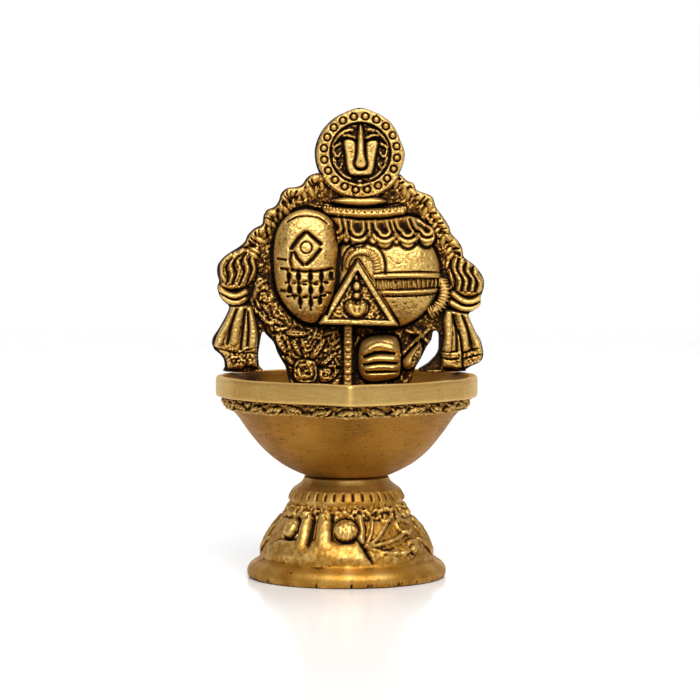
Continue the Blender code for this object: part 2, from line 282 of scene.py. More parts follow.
# --- Meshes from fields --------------------------------------------------------------------------------
def tidy_cells(cells):
    """Fills cells until none meets another at a corner only."""
    cells = cells.copy()
    for _ in range(6):
        a, b = cells[:-1, :-1], cells[:-1, 1:]
        c, d = cells[1:, :-1], cells[1:, 1:]
        falling = a & d & ~b & ~c
        rising = b & c & ~a & ~d
        if not falling.any() and not rising.any():
            break
        cells[:-1, 1:] |= falling
        cells[:-1, :-1] |= rising
    return cells


def boundary_loops(edges):
    """Directed boundary edges joined end to end."""
    after = dict(edges)
    loops = []
    while after:
        first, here = after.popitem()
        loop = [first]
        while here != first:
            loop.append(here)
            here = after.pop(here)
        loops.append(loop)
    return loops


def cast_mesh(name, field, away, marks, place, floor, skirt):
    """A closed slab whose face is the field where away is below 0.

    marks is the stain of the face, with painted shade in it on the plate's pieces, place turns (u, v, h)
    arrays into points, floor is the height of the hidden flat side, and skirt is how far the side wall leans
    out on its way down to it.
    """
    middle = (away[:-1, :-1] + away[:-1, 1:] + away[1:, :-1] + away[1:, 1:]) / 4
    cells = tidy_cells(middle < 0)
    rows, columns = field.u.shape
    corner = np.arange(rows * columns).reshape(rows, columns)
    quads = np.stack(
        [corner[:-1, :-1][cells], corner[:-1, 1:][cells], corner[1:, 1:][cells], corner[1:, :-1][cells]], 1
    )
    sides = np.vstack([quads[:, [k, (k + 1) % 4]] for k in range(4)])
    backward = set(map(tuple, sides[:, ::-1].tolist()))
    edges = [side for side in map(tuple, sides.tolist()) if side not in backward]

    u, v, h = field.u.ravel().copy(), field.v.ravel().copy(), field.h.ravel()
    slope_v, slope_u = np.gradient(away, field.cell)
    steep = np.maximum(np.hypot(slope_u, slope_v).ravel(), 0.3)
    out_u, out_v = slope_u.ravel() / steep, slope_v.ravel() / steep
    rim = np.array(sorted({start for start, _ in edges}))
    shift = np.clip(away.ravel()[rim] / steep[rim], -0.7 * field.cell, 0.7 * field.cell)
    u[rim] -= shift * out_u[rim]
    v[rim] -= shift * out_v[rim]

    used = np.unique(quads)
    lookup = np.full(rows * columns, -1)
    lookup[used] = np.arange(len(used))
    points = [place(u[used], v[used], h[used])]
    marked = [marks.ravel()[used]]
    faces = lookup[quads].tolist()
    above = {int(i): int(lookup[i]) for i in rim}
    count = len(used)
    for depth, lean in ((0.35, 0.5), (1.0, 1.0)):
        low = h[rim] + (floor - h[rim]) * depth
        points.append(place(u[rim] + out_u[rim] * skirt * lean, v[rim] + out_v[rim] * skirt * lean, low))
        marked.append(np.clip(marks.ravel()[rim], -0.9, -0.3))
        below = {int(i): count + k for k, i in enumerate(rim)}
        faces += [(above[b], above[a], below[a], below[b]) for a, b in edges]
        above = below
        count += len(rim)
    loops = boundary_loops(edges)
    flat = [[Vector((u[i], v[i], 0.0)) for i in loop] for loop in loops]
    order = [above[i] for loop in loops for i in loop]
    spots = [spot for loop in flat for spot in loop]
    for a, b, c in tessellate_polygon(flat):
        facing = (spots[b] - spots[a]).to_2d().cross((spots[c] - spots[a]).to_2d())
        faces.append((order[a], order[c], order[b]) if facing > 0 else (order[a], order[b], order[c]))

    mesh = bpy.data.meshes.new(name)
    mesh.from_pydata(np.vstack(points) * MM, [], faces)
    mark_mesh(mesh, np.concatenate(marked))
    mesh.shade_smooth()
    return mesh


def ring_mesh(name, rings, marks):
    """A closed body from an array of rings (ring, spot, xyz), the last of them joined to the first."""
    count, around = rings.shape[:2]
    spot = np.arange(count * around).reshape(count, around)
    nxt = np.roll(spot, -1, axis=1)
    quads = np.stack([spot, nxt, np.roll(nxt, -1, axis=0), np.roll(spot, -1, axis=0)], -1).reshape(-1, 4)
    mesh = bpy.data.meshes.new(name)
    mesh.from_pydata(rings.reshape(-1, 3) * MM, [], quads.tolist())
    mark_mesh(mesh, marks.ravel())
    mesh.shade_smooth()
    return mesh


def mark_mesh(mesh, marks):
    # The stain attribute holds patina and wear, and also painted shade on the plate and a painted highlight
    # on the pedestal's collar.
    layer = mesh.attributes.new("stain", "FLOAT", "POINT")
    layer.data.foreach_set("value", np.asarray(marks, np.float32))


def on_scene(name, data):
    """A new object in the scene."""
    made = bpy.data.objects.new(name, data)
    bpy.context.scene.collection.objects.link(made)
    return made


def finished_mesh(made):
    """An object's mesh after its modifiers."""
    bpy.context.view_layer.update()
    return bpy.data.meshes.new_from_object(made.evaluated_get(bpy.context.evaluated_depsgraph_get()))


def add_piece(name, mesh, replaced, material=None):
    """Puts a finished mesh on show as a piece of the lamp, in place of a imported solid."""
    piece = on_scene(name, mesh)
    if material:
        mesh.materials.clear()
        mesh.materials.append(material)
    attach(piece, BODY)
    if replaced:
        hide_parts(replaced)
    return piece


# --- Relief plate: outlines, in millimetres from the lamp's axis and above the table --------------------
LEG_TOP = 40.2  # under it the plate is cast as a leg of its own
LEFT_CUT, RIGHT_CUT = -17.6, 18.6  # where the tassels are parted from the middle
MEDALLION = (3.2, 92.0)
MEDALLION_RADIUS = 9.8
MEDALLION_BORDER = 6.75  # inner radius of its dotted border
DOT_RING = 8.07
DOTS = 20
STUD_FOOT = 2.1  # height of the studs' middles over the ground
RIGHT_EDGE = [
    (12.1, 87.3), (13.6, 85.9), (15.0, 85.3), (15.6, 83.9), (17.7, 83.1), (19.2, 82.3), (19.8, 80.3),
    (21.1, 78.5), (22.8, 75.9), (23.2, 74.4), (24.8, 72.7), (25.7, 71.1), (26.1, 69.1), (28.1, 67.6),
    (29.6, 65.9), (30.5, 64.1), (30.4, 62.2), (29.8, 60.4), (29.7, 58.7), (28.5, 57.6), (27.1, 56.6),
    (27.8, 54.6), (28.6, 52.8), (29.7, 51.0), (30.2, 49.3), (30.4, 47.6), (29.7, 46.1), (27.8, 45.2),
    (26.5, 44.4), (25.8, 44.0),
]
RIGHT_WINDOW = [
    (16.4, 44.0), (18.4, 45.8), (20.4, 48.1), (20.7, 50.7), (20.5, 52.7), (19.3, 52.8), (18.9, 51.0),
    (17.7, 49.2), (16.7, 47.1), (15.4, 44.9),
]
LEG = [(13.6, 39.0), (9.4, 31.5), (3.6, 28.0), (-3.6, 28.0), (-8.8, 31.0), (-11.6, 38.0)]
LEFT_WINDOW = [
    (-13.2, 45.1), (-14.9, 48.0), (-15.8, 50.4), (-17.3, 52.0), (-18.0, 52.8), (-18.6, 52.4),
    (-19.1, 49.8), (-19.4, 47.6), (-19.2, 45.2), (-18.8, 44.0),
]
LEFT_EDGE = [
    (-26.4, 44.0), (-26.6, 45.0), (-26.8, 46.6), (-27.7, 47.9), (-28.9, 48.9), (-29.4, 50.3),
    (-29.1, 51.6), (-28.1, 53.1), (-27.2, 54.6), (-26.1, 56.7), (-25.6, 58.3), (-26.7, 59.4),
    (-27.6, 60.5), (-28.2, 62.4), (-27.8, 63.9), (-28.2, 65.5), (-28.1, 67.4), (-26.9, 69.0),
    (-25.2, 70.3), (-23.4, 71.4), (-22.1, 72.6), (-21.5, 74.0), (-20.1, 75.4), (-18.3, 76.4),
    (-18.0, 78.2), (-17.3, 79.5), (-15.6, 80.2), (-14.6, 81.6), (-14.1, 83.2), (-12.8, 84.3),
    (-11.0, 84.5), (-9.5, 85.1), (-8.6, 86.4), (-7.6, 87.2), (-6.3, 87.6),
]
POT = (8.9, 65.4)
POT_RADIUS = 11.8
NECK_PITS = 13  # in the band round the pot's neck
PALM = (-8.6, 66.9)
PALM_EDGE = [
    (-8.6, 79.7), (-5.3, 78.9), (-3.2, 77.4), (-2.1, 74.8), (-1.7, 71.3), (-1.8, 67.2), (-2.1, 63.6),
    (-3.0, 60.6), (-4.0, 58.1), (-5.0, 55.8), (-7.0, 54.8), (-9.3, 55.2), (-11.9, 57.1), (-13.9, 59.6),
    (-15.2, 62.6), (-15.7, 66.2), (-15.8, 69.7), (-15.5, 73.3), (-14.7, 75.8), (-13.2, 77.9),
    (-11.1, 79.2),
]
GARLAND_PITCH = 1.35  # between the slots that part the outer strand's leaves
GARLAND_SLOT_DEPTH = 1.3
CANOPY_PETALS = [  # where each petal hangs from, and where it ends
    ((-2.9, 77.7), (-2.3, 74.3)),
    ((2.4, 76.9), (2.6, 73.9)),
    ((7.5, 76.9), (8.4, 73.7)),
    ((12.1, 77.1), (13.5, 73.7)),
    ((15.6, 77.5), (17.7, 73.9)),
]
PALM_HALF = (7.05, 12.6)
TRIANGLE = [(2.5, 68.3), (11.2, 54.4), (-5.7, 54.8)]
COLUMN_TOP, COLUMN_FOOT = (0.5, 53.7), (0.4, 40.7)


def build_plate_field(cell):
    """The relief's heights over the plate's ground, and the distance to the plate's edge."""
    field = Field((-31.0, 27.0), (32.0, 103.0), cell)
    sides = smooth_line(RIGHT_EDGE + RIGHT_WINDOW, steps=3)
    other = smooth_line(LEFT_WINDOW + LEFT_EDGE, steps=3)
    away = inside_outline(field, np.vstack([sides, LEG, other]))
    disc = np.hypot(field.u - MEDALLION[0], field.v - MEDALLION[1])
    away = np.minimum(away, disc - medallion_reach(field))
    chase_ground(field)
    chase_garlands(field, away)
    chase_foliage(field)
    chase_tassel_left(field)
    chase_tassel_right(field)
    chase_pot(field)
    chase_fist(field)
    chase_palm(field)
    chase_triangle(field)
    chase_medallion(field)
    field.h += 0.025 * field.grain(0.5, 5) + 0.03 * field.grain(0.16, 6)
    soften_edge(field, away)
    return field, away


def medallion_reach(field):
    """The medallion's uneven radius: hand-filed into shallow facets, with a low peak on top."""
    angles = np.arctan2(field.v - MEDALLION[1], field.u - MEDALLION[0])
    turns = np.radians([-180, -130, -90, -50, -23, 0, 18, 49, 72, 90, 110, 138, 160, 180])
    return np.interp(
        angles, turns, [9.95, 9.8, 9.8, 9.8, 9.65, 9.8, 9.2, 9.5, 9.5, 9.98, 9.5, 9.55, 9.75, 9.95],
    )


def chase_ground(field):
    """A sand-cast ground: fine worms, lumps and a few nodules."""
    patchy = np.clip(0.6 + 0.3 * field.grain(1.6, 14), 0.15, 1.1)
    field.h += 0.45 + 0.15 * patchy * field.worms(0.19, 11) + 0.12 * field.grain(0.4, 12)
    field.h += 0.42 * np.clip(field.grain(0.32, 13) - 0.8, 0, 1.2)


def soften_edge(field, away):
    """Rounds everything over towards the plate's edge."""
    worn = 1 - rounded(away, 0.75 + 0.35 * leftward(field, away))
    field.h -= worn * np.maximum(field.h - 0.2, 0.0)


def leftward(field, away):
    """1 where the plate's nearest edge faces left, 0 where it faces right, up or down."""
    return np.clip(-np.gradient(away, field.cell)[1], 0, 1)


def chase_garlands(field, away):
    """The scalloped outer strand of both garlands, notched by slanting slots between its leaves."""
    high = np.clip((field.v - 64.5) / 2, 0, 1)
    rise = np.sqrt(np.clip(1 - ((away + 0.95) / 1.05) ** 2, 0, 1))
    field.h += high * (rise * (1.75 - np.minimum(field.h, 1.2)) - 0.35 * falloff(away + 2.5, 0.4))
    patchy = np.clip(0.75 + 0.7 * field.grain(0.7, 15), 0, 1.2)
    for edge, seed in ((RIGHT_EDGE[:14], 16), (LEFT_EDGE[-15:], 17)):
        line = smooth_line(edge, steps=3)
        part = field.near(line, 3.5)
        beside, share = along_line(part, line)
        run = share * np.hypot(*np.diff(line, axis=0).T).sum() + 0.45 * beside
        run += 0.16 * np.sin(run * 1.9 + seed) + 0.12 * np.sin(run * 4.1)
        slot = falloff((run / GARLAND_PITCH) % 1 - 0.5, 0.17) * np.clip((beside - 0.5) / 0.3, 0, 1)
        slot *= np.clip((3.4 - beside) / 0.5, 0, 1)
        window = patchy[: part.h.shape[0], : part.h.shape[1]]
        part.h -= GARLAND_SLOT_DEPTH * slot * window


def chase_medallion(field):
    """A dotted border, a dark field with scrolls and a three-stroke forehead mark."""
    part = field.near([MEDALLION], MEDALLION_RADIUS + 0.6)
    u, v = part.u - MEDALLION[0], part.v - MEDALLION[1]
    away = np.hypot(u, v)
    inner = np.clip((MEDALLION_BORDER - away) / 0.25 + 0.5, 0, 1)
    ground = 1.0 + 0.16 * part.worms(0.22, 21) + 0.08 * part.grain(0.3, 22)
    border = 2.3 - 0.12 * falloff(away - DOT_RING, 0.8)
    plate = border * (1 - inner) + ground * inner
    part.h[...] = np.where(away < medallion_reach(part) + 0.2, plate, part.h)
    ring_cut(field, MEDALLION, MEDALLION_BORDER - 0.15, 0.2, 0.7)
    ring_cut(field, MEDALLION, MEDALLION_RADIUS + 0.05, 0.2, 0.8)
    for dot in dot_places():
        ring_cut(field, dot, 0.76, 0.15, 0.75)
    cup = [
        (-0.4, 94.8), (-0.1, 91.7), (0.2, 89.0), (0.9, 87.4), (2.0, 87.1), (4.4, 87.1), (5.6, 87.4),
        (6.2, 89.0), (6.6, 91.7), (7.0, 94.6), (4.6, 94.4), (4.5, 91.7), (4.5, 89.2), (4.1, 88.4),
        (2.5, 88.4), (2.2, 89.3), (2.2, 91.7), (2.0, 94.6),
    ]
    raise_soft(field, cup, 2.75, 0.45, moat=0.8)
    stroke = [
        (3.0, 98.1), (3.5, 98.0), (3.9, 95.6), (4.1, 91.7), (4.6, 89.8), (4.1, 88.8), (2.5, 88.8),
        (1.9, 89.8), (2.4, 91.7), (2.6, 95.6),
    ]
    raise_soft(field, stroke, 3.0, 0.5, moat=0.7)
    for mirror in (1, -1):
        scrolls = [
            [(4.5, 95.3), (6.0, 95.9), (7.5, 95.8), (8.6, 94.6)],
            [(7.7, 94.0), (9.0, 93.2), (8.9, 91.7), (8.0, 91.3), (7.5, 92.2)],
            [(8.9, 91.0), (8.7, 89.3), (7.6, 88.7), (7.2, 89.7)],
            [(8.0, 88.4), (6.8, 87.1), (5.4, 86.4)],
            [(5.0, 97.1), (6.8, 96.7), (8.5, 95.3), (9.4, 93.4)],
        ]
        for scroll in scrolls:
            line = [(MEDALLION[0] + mirror * (x - MEDALLION[0]), y) for x, y in scroll]
            ridge(field, line, 0.42, 1.0, tip=0.7)
            groove(field, [(x, y - 0.62) for x, y in line], 0.22, 0.45)
    ridge(field, [(0.9, 85.6), (2.5, 85.0), (4.0, 85.1), (5.4, 85.8)], 0.4, 0.95)
    emboss_oval(field, (3.1, 85.7), 0.62, 0.55, 1.2, 0.4, moat=0.4)


def dot_places():
    turns = np.radians(10.5 + 360 * np.arange(DOTS) / DOTS)
    return [(MEDALLION[0] + DOT_RING * math.cos(t), MEDALLION[1] + DOT_RING * math.sin(t)) for t in turns]


def chase_pot(field):
    """The round pot: a domed body, its lid and neck band, the canopy and the strap."""
    part = field.near([POT], POT_RADIUS + 1.5)
    away = np.hypot(part.u - POT[0], part.v - POT[1])
    bulge = 1.2 + 5.0 * np.sqrt(np.clip(1 - (away / POT_RADIUS) ** 2, 0, 1)) ** 0.9
    part.h[...] = np.where(away < POT_RADIUS, np.maximum(part.h * 0.3 + 0.6, bulge), part.h)
    ring_cut(field, POT, POT_RADIUS + 0.25, 0.4, 0.9)
    band = [
        (-5.1, 79.7), (-1.9, 80.2), (3.6, 79.9), (9.0, 80.1), (12.8, 80.4), (13.5, 79.6), (12.9, 78.4),
        (9.0, 77.7), (3.6, 77.5), (-1.9, 77.8), (-4.8, 78.6),
    ]
    raise_part(field, band, 3.9, 1.3)
    lid = [
        (-3.3, 81.6), (-0.6, 82.3), (3.6, 82.5), (7.3, 82.2), (9.0, 81.4), (7.0, 80.8), (3.6, 80.5),
        (-0.4, 80.8),
    ]
    raise_soft(field, lid, 3.6, 0.8)
    groove(field, [(-4.9, 81.2), (-0.4, 80.5), (3.6, 80.3), (7.5, 80.4), (11.6, 81.1)], 0.2, 0.8)
    left, right = PEARL_LINE[0][0], PEARL_LINE[-1][0]
    for k in range(NECK_PITS):
        share = (k + 0.5) / NECK_PITS
        pit = (left * (1 - share) + right * share, PEARL_LINE[2][1] + 1.5 * (share - 0.5) ** 2)
        emboss_oval(field, pit, 0.32, 0.34, -0.6, 0.3)
    groove(field, [(-4.7, 78.4), (-0.6, 77.8), (3.6, 77.5), (8.6, 77.8), (13.4, 78.5)], 0.22, 0.9)
    chase_canopy(field)
    chase_strap(field)


def chase_canopy(field):
    """The cloth over the pot's shoulder: a row of long petals over a scalloped hem."""
    canopy = [
        (-3.5, 78.1), (3.6, 77.3), (9.0, 77.5), (13.8, 78.2), (16.0, 77.7), (18.0, 76.0), (19.5, 73.6),
        (17.7, 73.8), (15.5, 74.0), (12.9, 73.9), (8.1, 73.9), (4.6, 74.1), (2.0, 74.1), (-0.2, 74.7),
        (-1.9, 75.5),
    ]
    fringe = []
    for _, foot in CANOPY_PETALS:
        fringe += [(foot, 1.85), ((foot[0] - 2.5, foot[1] - 0.2), 0.85)]
    part = field.near(canopy, 3.0)
    hem = np.minimum.reduce([inside_oval(part, spot, half, half + 0.5) for spot, half in fringe])
    cloth = np.minimum(inside_outline(part, canopy), hem)
    part.h -= 0.9 * falloff(cloth - 0.3, 0.35)
    raise_to(part, cloth, 4.2, 0.4)
    for (tx, ty), (fx, fy) in CANOPY_PETALS:
        px, py = (tx + fx) / 2, (ty + fy) / 2
        groove(field, [(tx, ty + 0.2), (px, py), (fx, fy + 1.3)], 0.62, 1.0)
        for side in (-1.9, 1.9):
            groove(field, [(tx + side, ty + 0.2), (px + side, py), (fx + side, fy + 1.0)], 0.26, 0.8)
        edge = [
            (tx - 1.25, ty + 0.4), (px - 1.35, py + 0.2), (fx - 1.2, fy + 1.3), (fx - 0.7, fy + 0.5),
            (fx, fy + 0.25),
        ]
        edge += [(fx + 0.7, fy + 0.5), (fx + 1.2, fy + 1.3), (px + 1.35, py + 0.2), (tx + 1.25, ty + 0.4)]
        ridge(field, edge, 0.42, 1.2)
        hem = [
            (fx - 2.3, fy + 0.35), (fx - 1.6, fy - 0.5), (fx, fy - 1.05), (fx + 1.6, fy - 0.5),
            (fx + 2.3, fy + 0.35),
        ]
        groove(field, [(x, y + 0.75) for x, y in hem], 0.22, 0.6)
        ridge(field, hem, 0.5, 0.95)
        ridge(field, [(tx + 2.45, ty + 0.3), (px + 2.55, py), (fx + 2.5, fy + 0.2)], 0.42, 0.95)


def chase_strap(field):
    """The strap round the pot, the fan at its right end and the arch over its left end."""
    sunk = [
        (6.1, 64.6), (11.2, 64.7), (16.4, 64.8), (20.6, 64.7), (20.6, 62.3), (16.4, 62.0), (11.2, 61.9),
        (6.8, 61.9),
    ]
    emboss(field, sunk, -0.85, 0.2)
    for rail in (
        [(6.1, 65.1), (11.2, 65.3), (16.4, 65.3), (20.9, 65.1)],
        [(7.9, 61.6), (12.1, 61.6), (16.9, 61.8), (20.3, 62.0)],
    ):
        ridge(field, rail, 0.5, 1.0)
    groove(field, [(6.1, 65.9), (11.2, 66.0), (16.4, 66.1), (20.9, 65.9)], 0.17, 0.5)
    groove(field, [(7.9, 60.7), (12.1, 60.7), (16.9, 60.9), (19.9, 61.2)], 0.17, 0.5)
    fan = [
        (20.9, 64.9), (22.3, 63.3), (22.8, 61.2), (22.1, 59.0), (20.6, 57.3), (18.4, 56.5), (19.0, 58.3),
        (20.1, 59.9), (20.5, 62.0), (20.4, 63.8),
    ]
    raise_soft(field, fan, 2.9, 0.7)
    arch = [
        (-0.5, 66.8), (-0.1, 69.0), (1.2, 70.7), (3.1, 71.6), (5.3, 71.4), (7.0, 70.1), (7.8, 68.1),
        (7.7, 65.7), (5.9, 65.7), (5.6, 67.5), (4.6, 68.9), (3.1, 69.5), (1.7, 68.9), (1.0, 67.7),
        (0.8, 66.6),
    ]
    raise_soft(field, arch, 6.2, 0.8)
    outer = [
        (-0.9, 66.4), (-0.7, 69.1), (0.8, 71.4), (3.1, 72.2), (5.5, 72.1), (7.5, 70.7), (8.5, 68.3),
        (8.5, 65.7),
    ]
    groove(field, outer, 0.28, 0.9)


def raise_soft(field, outline, level, edge, moat=0.0):
    """raise_part with an outline that is first drawn smooth through its points."""
    raise_part(field, smooth_line(outline, closed=True), level, edge, moat)


def raise_part(field, outline, level, edge, moat=0.0):
    """A raised shape at a level of its own, with a cut of depth moat round it."""
    part = field.near(outline, 1.0)
    away = inside_outline(part, outline)
    part.h -= moat * falloff(away - 0.2, 0.24) * (away > -0.1)
    raise_to(part, away, level, edge)


def chase_palm(field):
    """An open palm as a smooth oval, with a diamond, a ring and finger lines cut into it."""
    part = field.near([PALM], PALM_HALF[1] + 2)
    away = inside_palm(part)
    crown = 1 - np.hypot((part.u - PALM[0]) / PALM_HALF[0], (part.v - PALM[1]) / PALM_HALF[1]) ** 2
    body = 2.2 + 3.4 * rounded(away, 3.8) + 1.1 * np.clip(crown, 0, 1)
    part.h[...] = np.where(away < 0, body, part.h)
    part.h -= 0.9 * falloff(away - 0.3, 0.4)
    groove(field, [(-12.9, 76.9), (-11.0, 77.9), (-8.7, 78.2), (-6.0, 77.8), (-4.2, 76.6)], 0.2, 0.6)
    ridge(field, [(-12.3, 77.9), (-10.6, 78.9), (-8.5, 79.1), (-6.3, 78.8), (-4.8, 77.8)], 0.5, 0.35)
    diamond = [(-8.7, 74.6), (-5.6, 71.5), (-9.0, 67.9), (-11.5, 71.2)]
    emboss(field, diamond, 0.45, 0.3)
    for line, width, depth in (
        ([(-9.0, 74.6), (-10.4, 73.4), (-11.9, 71.2)], 0.42, 1.3),
        ([(-8.4, 74.7), (-7.1, 73.5), (-5.5, 72.2)], 0.36, 1.1),
        ([(-11.3, 70.3), (-10.6, 69.0), (-9.4, 67.7)], 0.34, 1.0),
        ([(-8.6, 67.8), (-7.2, 69.0), (-5.7, 70.9)], 0.34, 1.0),
        ([(-11.9, 70.2), (-12.2, 68.6), (-11.7, 66.7)], 0.36, 1.0),
        ([(-11.9, 66.5), (-8.9, 66.2), (-5.8, 66.3), (-3.2, 66.8)], 0.36, 1.15),
        ([(-15.0, 69.0), (-13.2, 68.7)], 0.3, 0.8),
        ([(-14.1, 66.8), (-12.7, 66.7)], 0.34, 0.9),
        ([(-14.1, 62.0), (-12.3, 61.8)], 0.34, 0.9),
        ([(-4.5, 64.1), (-2.8, 64.4)], 0.3, 0.7),
        ([(-4.8, 61.5), (-3.3, 61.4)], 0.3, 0.7),
    ):
        groove(field, line, width, depth, smooth=False)
    ring_cut(field, (-8.7, 71.4), 1.25, 0.17, 0.6)
    fingers = [
        [(-12.7, 66.3), (-12.4, 63.3), (-11.3, 60.2)],
        [(-10.4, 66.2), (-10.3, 62.5), (-9.9, 58.1)],
        [(-7.8, 66.3), (-7.8, 62.5), (-7.7, 57.7)],
        [(-5.4, 66.3), (-5.4, 62.9), (-5.8, 59.0)],
    ]
    for line in fingers:
        groove(field, line, 0.32, 1.1, tip=0.6)
    for line in FINGER_JOINTS:
        groove(field, line, 0.24, 0.8)
    for spot in SLOT_PITS:
        emboss_oval(field, spot, 0.62, 0.95, -1.2, 0.5)
    for spot in JOINT_PITS:
        emboss_oval(field, spot, 0.62, 0.36, -0.8, 0.3)


def inside_palm(field):
    return inside_outline(field, smooth_line(PALM_EDGE, closed=True))


FINGER_JOINTS = [
    [(-13.2, 63.7), (-11.5, 64.1), (-10.1, 63.6), (-8.7, 64.1), (-7.3, 63.6), (-5.8, 64.0), (-4.1, 63.7)],
    [(-12.8, 60.7), (-11.0, 61.0), (-9.9, 60.5), (-8.7, 60.9), (-7.4, 60.3), (-6.0, 60.7), (-4.5, 61.0)],
]
SLOT_PITS = [
    (-12.4, 65.1), (-10.4, 65.0), (-7.8, 64.9), (-5.4, 65.0), (-3.3, 65.3), (-12.3, 62.2), (-10.2, 62.1),
    (-7.7, 62.0), (-5.4, 62.2), (-10.0, 59.6), (-7.7, 59.3), (-5.7, 59.8),
]
JOINT_PITS = [
    (-11.5, 63.6), (-9.1, 63.4), (-6.6, 63.4), (-4.3, 63.7), (-11.1, 60.8), (-9.0, 60.5), (-6.6, 60.5),
    (-4.8, 60.9),
]


def chase_triangle(field):
    """A raised triangle frame, sunk and rough inside, with a flame on a cup."""
    part = field.near(TRIANGLE, 1.5)
    away = inside_outline(part, TRIANGLE)
    frame_top = 6.6 * rounded(away - 0.3, 0.5)
    well = 4.7 + 0.16 * part.worms(0.2, 31) + 0.1 * part.grain(0.3, 32)
    inner = np.clip((-away - 0.9) / 0.15, 0, 1)
    level = frame_top * (1 - inner) + well * inner
    clear = inside_palm(part) > 0.5
    behind = clear | (part.v < 56.5)
    shape = (away < 0.3) & behind
    part.h[...] = np.where(shape, level, part.h)
    part.h -= 0.9 * falloff(away - 0.55, 0.25) * behind * (away > 0.25)
    for spot, wide, tall in (((2.2, 64.8), 0.5, 0.75), ((2.3, 62.9), 0.9, 1.15), ((2.3, 60.9), 0.85, 0.8)):
        part = field.near([spot], 2.0)
        away = inside_oval(part, spot, wide, tall)
        part.h -= 0.45 * falloff(away - 0.2, 0.24) * (away > -0.1)
        raise_to(part, away, 5.9, 0.4)
    cup = [
        (-0.1, 59.2), (1.0, 59.8), (2.3, 59.3), (3.6, 59.8), (4.7, 59.2), (4.7, 57.6), (3.6, 56.3),
        (2.3, 55.9), (0.9, 56.4), (-0.1, 57.7),
    ]
    raise_soft(field, cup, 6.2, 0.9, moat=0.6)
    for line in ([(1.7, 58.8), (1.9, 57.2)], [(3.0, 58.8), (2.8, 57.2)]):
        groove(field, line, 0.18, 0.4)


def chase_fist(field):
    """A closed hand on the right: four folded fingers, the wrist, and a bell flower on a strap beside it."""
    hand = [
        (3.8, 51.0), (6.0, 52.0), (9.4, 52.2), (11.5, 51.1), (12.1, 48.1), (12.2, 45.0), (11.4, 42.8),
        (6.8, 41.8), (4.1, 42.3), (2.9, 44.2), (2.7, 47.6), (3.1, 49.8),
    ]
    raise_soft(field, hand, 5.0, 2.2, moat=0.5)
    for line, width, height in FINGERS:
        ridge(field, line, width, height)
    for line, width, depth in FINGER_GAPS:
        groove(field, line, width, depth, tip=0.8)
    groove(field, [(11.6, 51.3), (12.1, 49.4), (12.4, 47.2), (12.4, 45.0), (11.6, 42.6)], 0.24, 1.0)
    groove(field, [(2.5, 49.8), (2.1, 47.2), (2.3, 43.7)], 0.4, 1.0)
    bell = [
        (12.5, 46.4), (13.5, 48.1), (15.1, 49.8), (15.9, 51.0), (16.8, 49.8), (16.6, 47.6), (15.5, 45.5),
        (14.0, 44.5), (12.8, 44.9),
    ]
    raise_soft(field, bell, 4.3, 1.4, moat=0.5)
    mouth = [(14.3, 45.4), (14.4, 47.1), (15.5, 49.1), (16.2, 49.6), (16.3, 47.8), (15.5, 46.0)]
    emboss(field, smooth_line(mouth, closed=True), -1.0, 0.3)
    part = field.near(mouth, 0.2)
    part.h += 0.3 * part.worms(0.2, 35) * (inside_outline(part, mouth) < 0)
    ridge(field, [(12.3, 47.7), (13.8, 49.2), (15.5, 51.0), (16.4, 52.0)], 0.5, 2.2, tip=0.7)
    groove(field, [(12.8, 47.1), (14.2, 48.7), (15.9, 50.6)], 0.26, 1.0)
    for line in (
        [(15.1, 53.5), (16.4, 52.2), (18.1, 50.5)],
        [(18.2, 53.3), (16.9, 52.0), (15.5, 50.8)],
        [(13.4, 53.0), (15.1, 52.6), (16.4, 52.8)],
    ):
        ridge(field, line, 0.5, 1.5)


FINGERS = [
    ([(4.0, 48.4), (6.0, 49.6), (7.7, 50.0), (10.7, 49.1)], 0.8, 0.7),
    ([(4.0, 46.5), (7.3, 47.1), (11.4, 46.9)], 0.62, 0.6),
    ([(4.2, 44.9), (7.7, 45.3), (11.4, 45.1)], 0.62, 0.6),
    ([(4.5, 43.3), (7.7, 43.3), (11.2, 43.5)], 0.6, 0.4),
]
FINGER_GAPS = [
    ([(4.1, 47.5), (6.0, 48.2), (8.1, 48.4), (10.5, 48.2)], 0.4, 1.7),
    ([(4.0, 45.7), (6.8, 46.2), (11.2, 46.0)], 0.34, 1.5),
    ([(4.4, 44.1), (8.1, 44.2), (11.4, 44.2)], 0.28, 0.9),
]


def chase_foliage(field):
    """Packed flowers and leaves low on the left, where the pot's belly rounds back."""
    belly = [
        (-21.0, 64.2), (-18.0, 65.1), (-14.1, 59.0), (-9.7, 54.6), (-5.4, 53.9), (-1.0, 53.3),
        (-0.4, 40.7), (-9.7, 40.7), (-12.6, 44.6), (-15.0, 49.0), (-17.1, 52.6), (-18.5, 55.1),
        (-19.8, 58.5),
    ]
    part = field.near(belly, 1.0)
    away = inside_outline(part, smooth_line(belly, closed=True))
    raise_to(part, away, 1.9, 2.2)
    part.h += np.where(away < 0, 0.26 * part.worms(0.24, 41), 0)
    for root, tip, width in LEAVES:
        leaf(field, root, tip, width)
    for centre, size in (((-8.9, 44.2), 2.6), ((-4.5, 43.3), 1.5)):
        flower(field, centre, size)
    for start, end in FOLIAGE_STROKES:
        ridge(field, [start, end], 0.32, 0.7, smooth=False)
    ridge(field, [(-19.3, 62.0), (-20.6, 59.9), (-19.8, 57.7), (-18.0, 55.5), (-16.2, 54.6)], 0.5, 1.0)
    ridge(field, [(-17.4, 64.2), (-19.3, 62.9), (-20.2, 60.7), (-18.9, 58.1)], 0.4, 0.8)
    groove(field, [COLUMN_TOP, COLUMN_FOOT], 1.6, 0.8)
    strand(field, [COLUMN_TOP, COLUMN_FOOT], 1.0, 2.6, 0.4)


